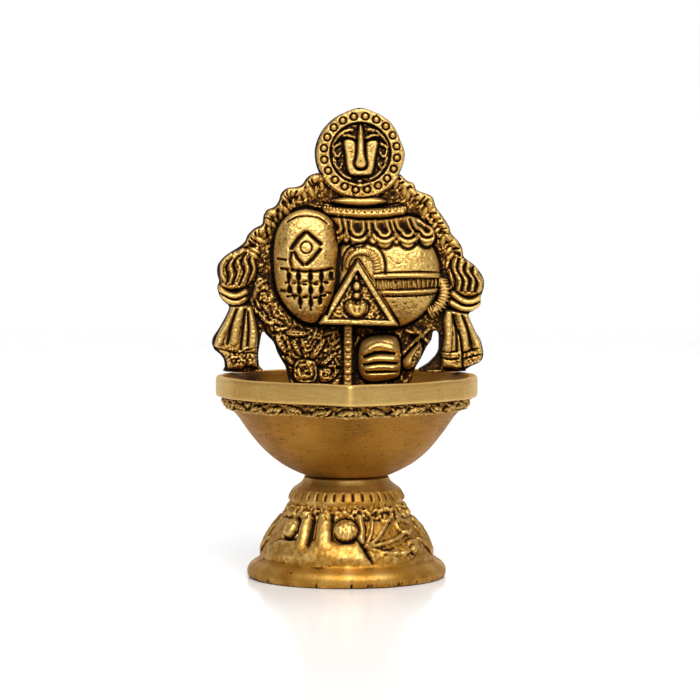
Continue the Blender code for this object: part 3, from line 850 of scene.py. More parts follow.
LEAVES = [
    ((-13.7, 52.6), (-7.7, 52.4), 1.9),
    ((-8.0, 46.2), (-4.1, 52.0), 1.7),
    ((-15.5, 52.6), (-12.9, 47.4), 1.6),
    ((-12.0, 51.3), (-9.7, 47.2), 1.4),
    ((-3.9, 49.4), (-0.8, 51.6), 1.2),
    ((-5.8, 45.0), (-1.9, 48.5), 1.3),
    ((-4.1, 41.5), (-1.2, 45.0), 1.3),
    ((-13.2, 47.6), (-11.0, 45.0), 1.2),
    ((-17.2, 55.9), (-13.2, 54.2), 1.2),
    ((-6.7, 41.5), (-4.5, 40.7), 1.0),
    ((-18.6, 59.4), (-16.4, 56.4), 1.1),
]
FOLIAGE_STROKES = [
    ((-2.3, 46.8), (-1.2, 45.0)),
    ((-2.3, 52.9), (-4.5, 52.2)),
    ((-7.1, 51.6), (-5.4, 51.3)),
    ((-9.7, 51.1), (-8.7, 48.5)),
    ((-6.3, 43.3), (-7.1, 42.0)),
    ((1.2, 51.3), (2.5, 49.4)),
    ((2.7, 51.6), (1.6, 48.1)),
    ((2.0, 45.9), (1.4, 43.3)),
]


def leaf(field, root, tip, width, level=3.0, moat=0.45):
    """An almond leaf with a middle vein and slanting side veins."""
    root, tip = np.array(root), np.array(tip)
    length = np.hypot(*(tip - root))
    along = (tip - root) / length
    across = np.array([-along[1], along[0]])
    shares = ((0.0, 0.0), (0.25, 0.42), (0.5, 0.5), (0.78, 0.32), (1.0, 0.0))
    edge = [root + along * length * s + across * width * w for s, w in shares]
    edge += [root + along * length * s - across * width * w for s, w in shares[-2:0:-1]]
    raise_part(field, edge, level, 0.7, moat=moat)
    groove(field, [tuple(root), tuple(tip)], 0.16, 0.5, smooth=False)
    for step in range(1, 5):
        start = root + along * length * step * 0.18
        for side in (-1, 1):
            end = start + along * length * 0.16 + across * side * width * 0.45
            groove(field, [tuple(start), tuple(end)], 0.12, 0.3, smooth=False)


def flower(field, centre, size):
    """A squarish rose: two raised rings round a boss, set off by a cut."""
    part = field.near([centre], size + 1.0)
    u, v = part.u - centre[0], part.v - centre[1]
    away = (np.abs(u) ** 3 + np.abs(v) ** 3) ** (1 / 3)
    ripple = 0.5 + 0.5 * np.cos(2 * math.pi * away / (size * 0.52))
    inside = np.clip((size - away) / 0.3, 0, 1)
    petals = 1.7 + 0.6 * ripple + 0.3 * part.worms(0.3, 43)
    part.h[...] = part.h * (1 - 0.7 * inside) + inside * petals - 0.5 * falloff(away - size - 0.15, 0.3)


def roughen(field, points, height):
    """Leaves a patch of sand-cast grit as cast."""
    part = field.near(points, 0.0)
    spots = np.asarray(points)
    middle, half = (spots.min(0) + spots.max(0)) / 2, (spots.max(0) - spots.min(0)) / 2 + 0.5
    inside = falloff(np.hypot((part.u - middle[0]) / half[0], (part.v - middle[1]) / half[1]), 0.9)
    part.h += height * inside * part.worms(0.2, 51)


def chase_tassel_left(field):
    """The left tassel: a curled head, a knot and a pleated skirt that stands on the rim."""
    head = [
        (-21.5, 71.2), (-24.6, 70.5), (-27.2, 68.8), (-28.1, 66.8), (-28.1, 63.1), (-25.9, 62.0),
        (-22.4, 62.5), (-19.8, 64.6), (-19.3, 68.6),
    ]
    raise_soft(field, head, 2.0, 0.9)
    for line in TASSEL_LEFT_CURLS:
        ridge(field, line, 0.5, 0.75, tip=0.6)
    for line in TASSEL_LEFT_CUTS:
        groove(field, line, 0.24, 1.1, tip=0.8)
    roughen(field, head, 0.12)
    skirt = [
        (-25.4, 58.7), (-23.3, 59.0), (-20.6, 58.5), (-19.8, 55.5), (-19.2, 52.4), (-19.4, 49.4),
        (-19.5, 45.0), (-21.9, 45.4), (-23.0, 44.6), (-25.9, 44.7), (-26.8, 47.6), (-29.2, 49.8),
        (-28.1, 52.9), (-26.7, 55.5),
    ]
    raise_part(field, skirt, 2.2, 0.7)
    knots = (
        [(-28.0, 62.5), (-25.9, 61.0), (-23.9, 60.7), (-22.1, 61.5)],
        [(-27.4, 60.7), (-25.4, 59.5), (-23.7, 59.3), (-22.3, 60.1)],
    )
    for line in knots:
        strand(field, line, 0.8, 2.9, 0.7)
    groove(field, [(-27.7, 61.4), (-25.4, 60.2), (-23.7, 60.0), (-21.9, 60.8)], 0.2, 0.9)
    groove(field, [(-26.3, 58.8), (-23.7, 58.5), (-21.5, 59.3)], 0.24, 0.9)
    for line in (
        [(-24.6, 58.1), (-26.3, 54.6), (-27.9, 50.7)],
        [(-23.1, 58.1), (-23.9, 54.6), (-24.5, 50.7)],
        [(-21.0, 57.7), (-20.4, 53.7), (-20.4, 49.4)],
    ):
        ridge(field, line, 0.9, 0.6)
    for line in (
        [(-23.9, 57.9), (-25.2, 54.2), (-26.0, 50.3)],
        [(-22.1, 57.7), (-22.6, 53.7), (-23.1, 49.0)],
        [(-21.5, 57.2), (-21.3, 53.7), (-21.6, 49.8)],
    ):
        groove(field, line, 0.24, 1.1)
    for line in (
        [(-28.7, 49.4), (-26.3, 48.7), (-23.7, 48.1), (-21.5, 48.9), (-19.3, 49.4)],
        [(-22.6, 48.1), (-21.0, 48.3), (-19.4, 47.9)],
    ):
        groove(field, line, 0.2, 0.6)
    roughen(field, [(-27.6, 49.0), (-19.3, 49.0), (-19.3, 44.6), (-26.3, 44.6)], 0.35)


TASSEL_LEFT_CURLS = [
    [(-25.4, 70.0), (-27.0, 68.1), (-27.1, 65.5), (-25.9, 63.3)],
    [(-24.3, 69.9), (-25.4, 67.7), (-24.9, 65.5), (-25.4, 63.6)],
    [(-22.6, 70.9), (-23.9, 69.0), (-23.2, 66.8), (-24.1, 64.2)],
    [(-21.0, 71.2), (-22.2, 69.0), (-21.5, 66.6), (-22.6, 63.8)],
    [(-19.5, 71.2), (-20.6, 69.0), (-20.0, 66.8), (-21.0, 64.2)],
]
TASSEL_LEFT_CUTS = [
    [(-25.0, 69.0), (-26.2, 67.0), (-25.8, 65.1), (-26.2, 63.3)],
    [(-23.4, 69.6), (-24.6, 67.7), (-24.0, 65.5), (-24.9, 63.3)],
    [(-21.8, 70.2), (-23.0, 68.1), (-22.3, 66.0), (-23.4, 63.1)],
    [(-20.2, 70.3), (-21.3, 68.3), (-20.7, 66.4), (-21.8, 63.3)],
    [(-18.8, 69.9), (-19.7, 68.1), (-19.5, 65.5), (-20.6, 62.5)],
]


def chase_tassel_right(field):
    """The right tassel, whose pleats swing outward."""
    head = [
        (23.8, 69.0), (26.0, 69.0), (28.4, 67.5), (30.4, 64.4), (30.3, 62.0), (28.6, 60.5), (26.0, 60.5),
        (23.8, 62.0), (22.6, 65.5),
    ]
    raise_soft(field, head, 2.0, 0.9)
    for line in TASSEL_RIGHT_CURLS:
        ridge(field, line, 0.5, 0.75, tip=0.7)
    for line in TASSEL_RIGHT_CUTS:
        groove(field, line, 0.24, 1.1, tip=0.8)
    roughen(field, head, 0.12)
    skirt = [
        (21.9, 57.6), (24.7, 57.7), (27.1, 56.8), (28.2, 53.7), (29.7, 51.0), (30.4, 48.1), (29.7, 46.1),
        (26.4, 45.0), (24.3, 44.5), (21.1, 44.9), (21.0, 48.1), (21.6, 52.0), (21.3, 55.5),
    ]
    raise_part(field, skirt, 2.2, 0.7)
    for line in (
        [(23.6, 61.1), (25.6, 59.7), (27.7, 59.4), (29.6, 60.3)],
        [(23.2, 59.2), (25.6, 58.0), (27.7, 58.0), (29.3, 58.8)],
    ):
        strand(field, line, 0.8, 2.9, 0.7)
    groove(field, [(23.4, 60.2), (25.6, 58.8), (27.7, 58.6), (29.7, 59.5)], 0.2, 0.9)
    groove(field, [(22.6, 58.1), (25.1, 57.1), (27.3, 57.1)], 0.22, 0.8)
    for line in (
        [(22.4, 56.8), (22.6, 52.9), (22.3, 48.5)],
        [(25.0, 56.8), (25.8, 53.3), (26.2, 49.4)],
        [(26.4, 56.4), (27.9, 52.9), (29.1, 49.4)],
    ):
        ridge(field, line, 0.85, 0.6)
    for line in (
        [(23.6, 56.4), (24.3, 52.9), (24.4, 48.5)],
        [(25.6, 56.4), (26.9, 52.9), (27.7, 49.0)],
        [(23.9, 54.6), (25.4, 50.7), (25.7, 45.0)],
    ):
        groove(field, line, 0.24, 1.1)
    for line in (
        [(21.1, 48.5), (22.6, 48.3), (24.3, 48.5)],
        [(21.1, 47.1), (23.0, 46.7), (24.7, 46.9)],
        [(25.8, 48.1), (28.2, 48.9), (30.0, 49.4)],
        [(26.0, 46.9), (28.6, 47.6), (30.2, 47.9)],
    ):
        groove(field, line, 0.2, 0.7)
    roughen(field, [(24.7, 49.8), (29.9, 49.8), (29.9, 45.0), (24.7, 45.0)], 0.25)
    web = [(17.7, 45.0), (19.0, 46.3), (20.5, 48.1), (21.0, 47.2), (21.0, 44.2), (17.7, 44.2)]
    part = field.near(web, 1.0)
    lower = inside_outline(part, web) < 0
    part.h[...] = np.where(lower, np.minimum(part.h, 0.1), part.h)


TASSEL_RIGHT_CURLS = [
    [(24.1, 69.4), (23.8, 66.8), (25.0, 64.2), (24.7, 62.0)],
    [(25.6, 68.5), (25.2, 66.4), (26.4, 64.2), (26.2, 62.0)],
    [(27.0, 68.1), (26.8, 66.1), (28.0, 64.4), (27.7, 62.0)],
    [(28.6, 66.6), (28.5, 65.1), (29.5, 63.3), (29.0, 61.6)],
    [(22.6, 69.0), (22.4, 66.8), (23.2, 64.2), (23.2, 62.5)],
]
TASSEL_RIGHT_CUTS = [
    [(24.8, 68.7), (24.4, 66.6), (25.7, 64.2), (25.4, 61.8)],
    [(26.4, 67.9), (26.0, 66.1), (27.2, 64.4), (27.0, 61.8)],
    [(27.9, 67.0), (27.7, 65.7), (28.8, 63.9), (28.4, 61.6)],
    [(23.3, 69.0), (23.1, 66.8), (24.1, 64.2), (23.9, 62.0)],
]


# --- Relief plate: guide lines of the ornament ----------------------------------------------------------
LEFT_GARLAND = [
    (-5.3, 85.0), (-7.3, 83.7), (-9.9, 82.4), (-11.9, 81.1), (-13.3, 79.3), (-15.4, 77.5), (-16.4, 75.5),
    (-18.5, 73.5), (-19.7, 71.1), (-20.4, 69.4),
]
RIGHT_GARLAND = [
    (11.0, 85.3), (12.8, 83.9), (14.8, 81.9), (16.6, 80.3), (17.8, 78.4), (19.6, 76.2), (20.8, 73.7),
    (22.3, 71.7), (23.0, 69.4),
]
PEARL_LINE = [(-4.5, 80.0), (-0.4, 79.4), (3.6, 79.1), (8.1, 79.3), (12.9, 79.9)]
STRAP_LINE = [(7.0, 63.3), (11.2, 63.3), (16.0, 63.5), (20.4, 63.6)]
FAN_LINE = [(21.3, 64.1), (21.7, 62.0), (21.4, 59.9), (20.2, 58.1), (18.8, 57.1)]
ARCH_LINE = [(2.5, 70.5), (3.8, 70.6), (5.5, 70.1), (6.5, 68.5), (6.8, 66.2)]


# --- Bowl and pedestal ---------------------------------------------------------------------------------
SPOUT_ANGLE = math.acos(RIM_RADIUS / (RIM_RADIUS + (BOWL_HIGH.y - BOWL_LOW.y) - 2 * RIM_RADIUS))
BOLT_HOLE = 2.25
BOWL_OUTSIDE = [
    # radius, height, and how much of the rim's leaf shape the ring has
    (9.2, 22.2, 0.0), (11.4, 23.1, 0.02), (13.7, 24.3, 0.1), (15.6, 25.6, 0.17), (17.1, 26.9, 0.25),
    (18.4, 28.2, 0.35), (19.5, 29.5, 0.45), (20.5, 30.8, 0.55), (21.5, 32.1, 0.65), (22.4, 33.4, 0.73),
    (23.3, 34.7, 0.8), (24.4, 36.0, 0.86), (25.1, 36.8, 0.89),
]
BOWL_BAND = [(25.3, 37.0, 0.9), (26.1, 38.0, 0.94), (26.9, 39.0, 0.98), (27.1, 39.35, 1.0)]
VINE_FACE = [(25.0, 36.65, 0.9), (25.75, 37.5, 0.93), (26.55, 38.5, 0.96), (27.35, 39.5, 1.0)]
VINE_BACK = [(26.6, 39.5, 1.0), (25.6, 38.4, 0.96), (24.6, 37.2, 0.92)]
VINE_LENGTH = 165.0
VINE_RISE = 3.7
BOWL_RIM = [
    (27.7, 39.3, 1.0), (28.2, 39.45, 1.0), (28.38, 39.8, 1.0), (28.4, 40.6, 1.0), (28.4, 42.9, 1.0),
    (28.3, 43.4, 1.0), (28.0, 43.65, 1.0), (27.4, 43.7, 1.0), (26.8, 43.65, 1.0), (26.4, 43.4, 1.0),
]
BOWL_INSIDE = [
    (26.0, 42.4, 1.0), (25.0, 40.6, 1.0), (22.9, 37.0, 0.9), (20.0, 32.9, 0.7), (17.3, 29.7, 0.45),
    (14.2, 27.2, 0.2), (11.0, 25.4, 0.05), (8.2, 24.45, 0.0), (5.0, 24.4, 0.0),
]
PEDESTAL_WALL = [
    # radius, height, from the flange up to the collar
    (18.95, 4.5), (18.75, 5.9), (18.35, 7.2), (17.85, 8.5), (17.2, 9.8), (16.4, 11.1), (15.5, 12.4),
    (14.5, 13.7), (13.6, 14.9), (12.9, 15.9), (12.6, 16.5),
]
PEDESTAL_COLLAR = [
    (12.65, 17.0), (12.62, 17.5), (12.4, 18.0), (12.0, 18.7), (11.55, 19.3), (11.0, 19.7), (10.35, 20.2),
    (9.8, 20.7), (9.4, 21.3), (9.25, 21.7), (8.9, 21.9),
]
PEDESTAL_INSIDE = [
    (18.9, 0.0), (17.9, 1.4), (17.0, 3.4), (16.4, 5.2), (15.5, 8.4), (14.0, 11.4), (12.2, 13.8),
    (10.4, 15.8), (9.0, 18.0), (7.6, 19.35), (7.2, 19.4),
]
FLANGE = [
    (20.5, 0.0), (21.1, 0.2), (21.5, 0.75), (21.65, 1.5), (21.5, 2.2), (21.1, 2.8), (20.5, 3.3),
    (19.85, 3.7), (19.3, 4.1),
]
COLLAR_SLOTS = 38
FRIEZE_RADIUS = 17.5
FRIEZE_REPEATS = 2
FRIEZE_LENGTH = 2 * math.pi * FRIEZE_RADIUS / FRIEZE_REPEATS


def around(steps):
    """Angles round the lamp's axis, from the front towards the right."""
    return np.linspace(-math.pi, math.pi, steps, endpoint=False)


def leaf_reach(angles, leaf):
    """How far the bowl's outline stands out at each angle, against a circle of radius 1."""
    straight = np.maximum(0.0, SPOUT_ANGLE - np.hypot(angles, 0.014))
    return 1 + leaf * (1 / np.cos(straight) - 1)


def ripple(angles, seed, waves=9):
    """A smooth uneven line round a casting, about 1 high."""
    dice = np.random.default_rng(seed)
    line = np.zeros_like(angles)
    for n in range(2, waves):
        line += np.sin(n * angles + dice.uniform(0, 6.28)) * dice.uniform(0.3, 1.0) / n**0.5
    return line / np.abs(line).max()


def ring_normals(rings):
    """Outward directions of a stack of rings, all of them closed."""
    along = np.roll(rings, -1, axis=1) - np.roll(rings, 1, axis=1)
    up = np.roll(rings, -1, axis=0) - np.roll(rings, 1, axis=0)
    normal = np.cross(along, up)
    return normal / np.maximum(np.linalg.norm(normal, axis=-1, keepdims=True), 1e-9)


def turned_rings(profile, angles):
    """Rings of points from a profile of radius, height and share of the bowl's leaf shape."""
    reach = profile[:, :1] * leaf_reach(angles[None, :], profile[:, 2:])
    z = np.repeat(profile[:, 1:2], len(angles), axis=1)
    return np.stack([AXIS_X + reach * np.sin(angles), AXIS_Y - reach * np.cos(angles), z], -1)


def bowl_rings(steps):
    """The bowl's rings, up the outside, over the rim and down the inside to the bolt hole."""
    outside = smooth_line(BOWL_OUTSIDE, steps=4)
    band = smooth_line(BOWL_BAND, steps=6)
    rim = smooth_line(BOWL_RIM, steps=3)
    inside = smooth_line(BOWL_INSIDE, steps=5)
    hole = [(BOLT_HOLE, 24.4, 0.0), (BOLT_HOLE, 22.2, 0.0), (5.0, 22.2, 0.0)]
    profile = np.vstack([outside, band, rim, inside, hole])
    counts = np.cumsum([len(outside), len(band), len(rim)])
    return turned_rings(profile, around(steps)), counts


def build_bowl_mesh():
    """The bowl, with a hollow under its rim band that the vine lies in."""
    rings, (belly, band, rim) = bowl_rings(420)
    angles = around(rings.shape[1])
    normals = ring_normals(rings)
    shape = rings.shape[:2]
    lumps = grain(shape, 7, 61, ring=True)
    swell = 0.05 * lumps
    swell[belly:band] -= 0.45
    swell[rim:] *= 1.4
    swell[-4:] = 0
    swell[:2] = 0
    rings = rings + normals * swell[..., None]
    rings[band:rim, :, 2] += 0.1 * ripple(angles, 63)
    clouds = grain(shape, 16, 64, ring=True)
    marks = -0.8 + 0.08 * lumps + 0.06 * clouds
    marks[belly - 3 : band + 3] = -0.7
    marks[band + 3 : rim] = 0.68 + 0.12 * clouds[band + 3 : rim] + 0.1 * lumps[band + 3 : rim]
    calmer = np.linspace(1.0, 0.1, len(marks) - rim)[:, None]
    marks[rim:] = -0.6 + calmer * (0.45 * lumps[rim:] + 0.35 * clouds[rim:])
    marks[rim + 12 :] -= 0.35
    marks[rim - 3 : rim] = np.linspace(0.3, -0.9, 3)[:, None] + 0.3 * lumps[rim - 3 : rim]
    return ring_mesh("bowl_casting", rings, marks)


def chase_vine(strip):
    """A rough vine of long leaves, buds and berries, with deep pits between them."""
    dice = np.random.default_rng(66)
    units = 31
    pitch = VINE_LENGTH / units
    for unit in range(units):
        shift = dice.uniform(-0.7, 0.7)
        rise, drop = dice.uniform(-0.25, 0.35, 2)
        long, wide = dice.uniform(0.8, 1.1), dice.uniform(1.9, 2.5)
        flip = unit % 3 == 1
        for lap in (-VINE_LENGTH, 0.0, VINE_LENGTH):
            s = lap + unit * pitch + shift
            ends = [(s - 0.2, 0.75 + drop), (s + 4.5 * long, 1.9 + rise)]
            if flip:
                ends = [(s, 1.9 + rise), (s + 4.3 * long, 0.9 + drop)]
            leaf(strip, (s + 1.2, 2.2 + rise), (s + 3.6, 3.0 + drop), 0.6 * wide, level=0.8, moat=0.7)
            leaf(strip, *ends, wide, level=0.9, moat=0.8)
            strand(strip, [(s - 0.8, 0.6), (s + 1.6, 0.4 + drop), (s + pitch, 0.6)], 0.3, 0.5, 0.25)
            emboss_oval(strip, (s - 0.6, 1.5 + rise), 0.6, 0.55, -1.2, 0.4)
            emboss_oval(strip, (s + 0.4, 2.5 + drop), 0.5, 0.42, 0.6, 0.35, moat=0.6)
            emboss_oval(strip, (s + 3.9, 2.6 + rise), 0.55, 0.5, -1.0, 0.4)


def build_vine_mesh(steps=1120):
    """The vine under the rim, as a closed ring whose back is sunk in the bowl's wall."""
    strip = Field((-2.0, 0.0), (VINE_LENGTH + 2.0, VINE_RISE), 0.15)
    chase_vine(strip)
    face = smooth_line(VINE_FACE, steps=8)
    profile = np.vstack([face, VINE_BACK])
    angles = around(steps)
    rings = turned_rings(profile, angles)
    height = np.append(0.0, np.cumsum(np.hypot(*np.diff(face[:, :2], axis=0).T)))
    run = (angles / (2 * math.pi) + 0.5) * VINE_LENGTH
    level = height[:, None] + 0.18 * ripple(angles, 65, 40)
    relief = strip.at(strip.h, run[None, :], level)
    shape = relief.shape
    relief += 0.12 + 0.12 * worms(shape, 1.5, 67, ring=True) + 0.03 * grain(shape, 1.0, 68, ring=True)
    fade = np.clip(level / 0.4, 0, 1) * np.clip((height[-1] - height[:, None]) / 0.4, 0, 1)
    swell = np.zeros(rings.shape[:2])
    swell[: len(face)] = relief * fade - 0.12
    marks = np.full(swell.shape, -0.6)
    standing = stain(relief, 0.15, ring=True)
    marks[: len(face)] = np.where(standing < 0, 2.5, 0.55) * standing - 0.7
    marks[: len(face)] += 0.3 * grain(shape, 1.0, 69, ring=True)
    marks[: len(face)] -= 0.9 * np.clip((height[:, None] - 2.4) / 0.8, 0, 1)
    return ring_mesh("rim_vine", rings + ring_normals(rings) * swell[..., None], marks)


def build_frieze(cell=0.16):
    """An elephant walking upside down, and a tuft of leaves behind it, on a strip round the pedestal."""
    strip = Field((-FRIEZE_LENGTH, 3.0), (FRIEZE_LENGTH, 18.0), cell)
    for lap in (-FRIEZE_LENGTH, 0.0, FRIEZE_LENGTH):
        chase_elephant(strip, lap)
    return strip


def moved(points, lap):
    return [(a + lap, z) for a, z in points]


def chase_elephant(strip, lap):
    """Body, legs, two round bosses, ear and head, with a fan of leaves behind. lap shifts all of it along."""
    body = [
        (-22.1, 2.8), (-12.6, 3.4), (-4.2, 3.7), (1.7, 4.0), (4.6, 4.5), (3.9, 6.7), (2.3, 9.6),
        (0.7, 9.3), (-1.9, 9.2), (-4.3, 10.1), (-5.7, 10.8), (-8.1, 9.7), (-9.4, 8.8), (-11.9, 9.5),
        (-14.1, 9.6), (-18.3, 8.9), (-21.2, 6.3),
    ]
    part = strip.near(moved(body, lap), 2.5)
    away = inside_outline(part, smooth_line(moved(body, lap), closed=True))
    part.h += 1.15 * rounded(away, 2.8) - 0.2 * falloff(away - 0.25, 0.35) * (away > 0) * (part.v > 7)
    for leg, width in (
        ([(-5.5, 8.6), (-5.7, 11.1), (-6.3, 14.0)], 1.75),
        ([(-10.6, 8.3), (-10.7, 10.8), (-11.3, 13.8)], 1.4),
        ([(2.5, 9.9), (2.9, 12.1), (3.0, 13.9)], 1.2),
    ):
        strand(strip, moved(leg, lap), width, 1.25, 1.5)
    for gap in (
        [(-9.4, 13.9), (-9.1, 12.4), (-8.8, 10.4), (-8.6, 8.6)],
        [(-4.1, 14.0), (-3.6, 12.6), (-3.1, 10.9), (-1.9, 10.0)],
        [(-15.1, 13.5), (-12.7, 11.7), (-12.9, 9.9), (-14.9, 9.5)],
    ):
        groove(strip, moved(gap, lap), 0.38, 1.1)
    for spot, wide, tall, top in (((-0.6, 12.0), 2.9, 2.05, 1.5), ((-15.5, 11.9), 1.8, 1.85, 1.1)):
        centre = moved([spot], lap)[0]
        part = strip.near([centre], 3.6)
        away = inside_oval(part, centre, wide, tall)
        part.h -= 1.0 * falloff(away - 0.3, 0.36) * (away > -0.2)
        raise_to(part, away, top, 1.9)
        mottle = 0.1 * part.worms(0.22, 75)
        mottle -= 0.35 * np.clip(part.grain(0.25, 76) - 0.9, 0, 1)
        part.h += mottle * (away < 0.4)
    ear = [(3.3, 8.5), (6.2, 9.8), (9.0, 11.9), (11.5, 13.8), (8.9, 13.9), (5.4, 13.8), (3.9, 11.1)]
    part = strip.near(moved(ear, lap), 1.0)
    away = inside_outline(part, moved(ear, lap))
    part.h += 0.3 * rounded(away, 0.8)
    for fold in (
        [(3.3, 8.5), (5.9, 9.6), (8.5, 11.6), (11.5, 13.8)],
        [(3.3, 8.4), (7.2, 9.0), (11.2, 9.8), (15.3, 11.0)],
        [(3.6, 8.5), (8.0, 7.2), (11.5, 6.7), (14.5, 7.2)],
        [(3.6, 8.7), (5.3, 11.1), (6.4, 13.7)],
    ):
        ridge(strip, moved(fold, lap), 0.4, 0.5)
    groove(strip, moved([(5.6, 3.8), (4.4, 5.9), (3.2, 8.4), (1.7, 10.3)], lap), 0.34, 1.15)
    for loop in (
        [(13.2, 14.7), (11.9, 13.7), (9.6, 13.8), (8.9, 14.9), (10.9, 15.7), (13.2, 15.4)],
        [(17.6, 11.3), (16.0, 10.7), (13.6, 11.6), (13.6, 13.0), (16.0, 13.6), (18.3, 12.8)],
    ):
        ridge(strip, moved(loop, lap), 0.42, 0.55)
    head = [
        (4.6, 4.5), (8.8, 4.5), (13.5, 5.0), (16.6, 6.5), (18.4, 8.7), (15.6, 9.4), (11.3, 8.3),
        (6.9, 7.3), (3.8, 7.7),
    ]
    part = strip.near(moved(head, lap), 1.0)
    away = inside_outline(part, smooth_line(moved(head, lap), closed=True))
    part.h += 0.7 * rounded(away, 1.6) + 0.2 * (away < 0) * part.worms(0.4, 74)
    emboss_oval(strip, moved([(15.2, 7.2)], lap)[0], 0.9, 0.9, 0.4, 0.5, moat=0.3)
    tuft_root = (lap + FRIEZE_LENGTH / 2 - 2.0, 5.0)
    for k in range(7):
        turn = math.radians(30 + 20 * k)
        tip = (tuft_root[0] + 7.5 * math.cos(turn), tuft_root[1] + 8.5 * math.sin(turn))
        bend = (tuft_root[0] + 4.5 * math.cos(turn), tuft_root[1] + 3.0 * math.sin(turn) + 1.5)
        strand(strip, [tuft_root, bend, tip], 0.95, 0.8, 0.6, tip=0.4)
        groove(strip, [tuft_root, bend, tip], 0.2, 0.35)


def build_pedestal_mesh(steps=560):
    """The pedestal: a hollow bell with its frieze, the slots round its collar and a nicked foot."""
    strip = build_frieze()
    flange = smooth_line(FLANGE, steps=2)
    wall = smooth_line(PEDESTAL_WALL, steps=7)
    collar = smooth_line(PEDESTAL_COLLAR, steps=4)
    hole = [(BOLT_HOLE, 21.9), (BOLT_HOLE, 19.4)]
    inside = smooth_line(PEDESTAL_INSIDE, steps=2)[::-1]
    profile = np.vstack([flange, wall, collar, hole, inside])
    angles = around(steps)
    rings = turned_rings(np.column_stack([profile, np.zeros(len(profile))]), angles)
    z = rings[..., 2]
    normals = ring_normals(rings)
    shape = rings.shape[:2]
    lap = (angles[None, :] * FRIEZE_RADIUS + FRIEZE_LENGTH / 2) % FRIEZE_LENGTH - FRIEZE_LENGTH / 2
    low, high = len(flange), len(flange) + len(wall)
    relief = strip.at(strip.h, np.repeat(lap, high - low, axis=0), z[low:high])
    fade = np.clip((z[low:high] - 4.4) / 1.6, 0, 1) * np.clip((16.9 - z[low:high]) / 0.5, 0, 1)
    swell = 0.03 * grain(shape, 6, 81, ring=True)
    top = np.clip((z[low:high] - 13.4) / 0.6, 0, 1) * np.clip((16.6 - z[low:high]) / 0.5, 0, 1)
    foliage = 0.2 + 0.32 * worms(relief.shape, 2.0, 71, ring=True)
    relief += top * (foliage - 0.5 * falloff(z[low:high] - 13.6, 0.35))
    relief += 0.03 * grain(relief.shape, 3, 72, ring=True) + 0.025 * grain(relief.shape, 1.2, 73, ring=True)
    swell[low:high] += (relief - 0.55) * fade
    collar_z = z[high : high + len(collar)]
    turn = (angles * COLLAR_SLOTS / (2 * math.pi) + 0.12 * ripple(angles, 84)) % 1
    beside = np.abs(turn - 0.5) * 2 * math.pi * 12 / COLLAR_SLOTS
    slot_top = 19.3 + 0.25 * ripple(angles, 85, 30)
    reach_up = np.clip((collar_z - 17.3) / 0.4, 0, 1) * np.clip((slot_top - collar_z) / 0.4, 0, 1)
    slots = falloff(beside, 0.2) * reach_up
    swell[high : high + len(collar)] += 0.02 * reach_up - 0.5 * slots
    nicks = np.clip(grain((1, steps), 0.7, 82, ring=True)[0] - 1.1, 0, 1)
    swell[2:7] -= 0.3 * nicks
    swell[-3:] = 0
    swell[:1] = 0
    rings = rings + normals * swell[..., None]
    rings[low // 2 : low, :, 2] += 0.12 * ripple(angles, 83)
    rings[..., 2] = np.maximum(rings[..., 2], 0.0)
    marks = np.full(shape, 0.1)
    standing = stain(swell[low:high], 0.19, ring=True)
    standing = np.where(standing > 0, 0.55 * standing, np.minimum(2.0 * standing + 0.5, 0.2 * standing))
    marks[low:high] = 0.1 + standing + 0.1 * np.clip(relief - 0.3, 0, 1)
    marks[low:high] += 0.25 * grain(relief.shape, 1.2, 77, ring=True)
    marks[:low] = -0.02 + 0.3 * grain((low, shape[1]), 4, 87, ring=True)
    marks[1:5] -= 0.3 + 2.0 * nicks
    marks[low - 2 : low + 1] -= 0.4
    marks[high:] = 0.1 + 0.2 * grain((len(marks) - high, shape[1]), 5, 86, ring=True)
    # Painted highlight: the collar lightens towards its top under the bowl, standing in for light reflected
    # off the bowl's belly.
    marks[high:] += 0.45 * np.clip((z[high:] - 18.6) / 1.5, 0, 1)
    marks[high : high + len(collar)] -= 2.6 * slots
    marks[high + len(collar) :] = -0.8
    return ring_mesh("pedestal_casting", rings, marks)


# --- Ornament laid by Geometry Nodes --------------------------------------------------------------------
def link(tree, source, output, target, value):
    tree.links.new(source.outputs[output], target.inputs[value])


def node(tree, kind, **settings):
    made = tree.nodes.new(kind)
    for key, value in settings.items():
        setattr(made, key, value)
    return made


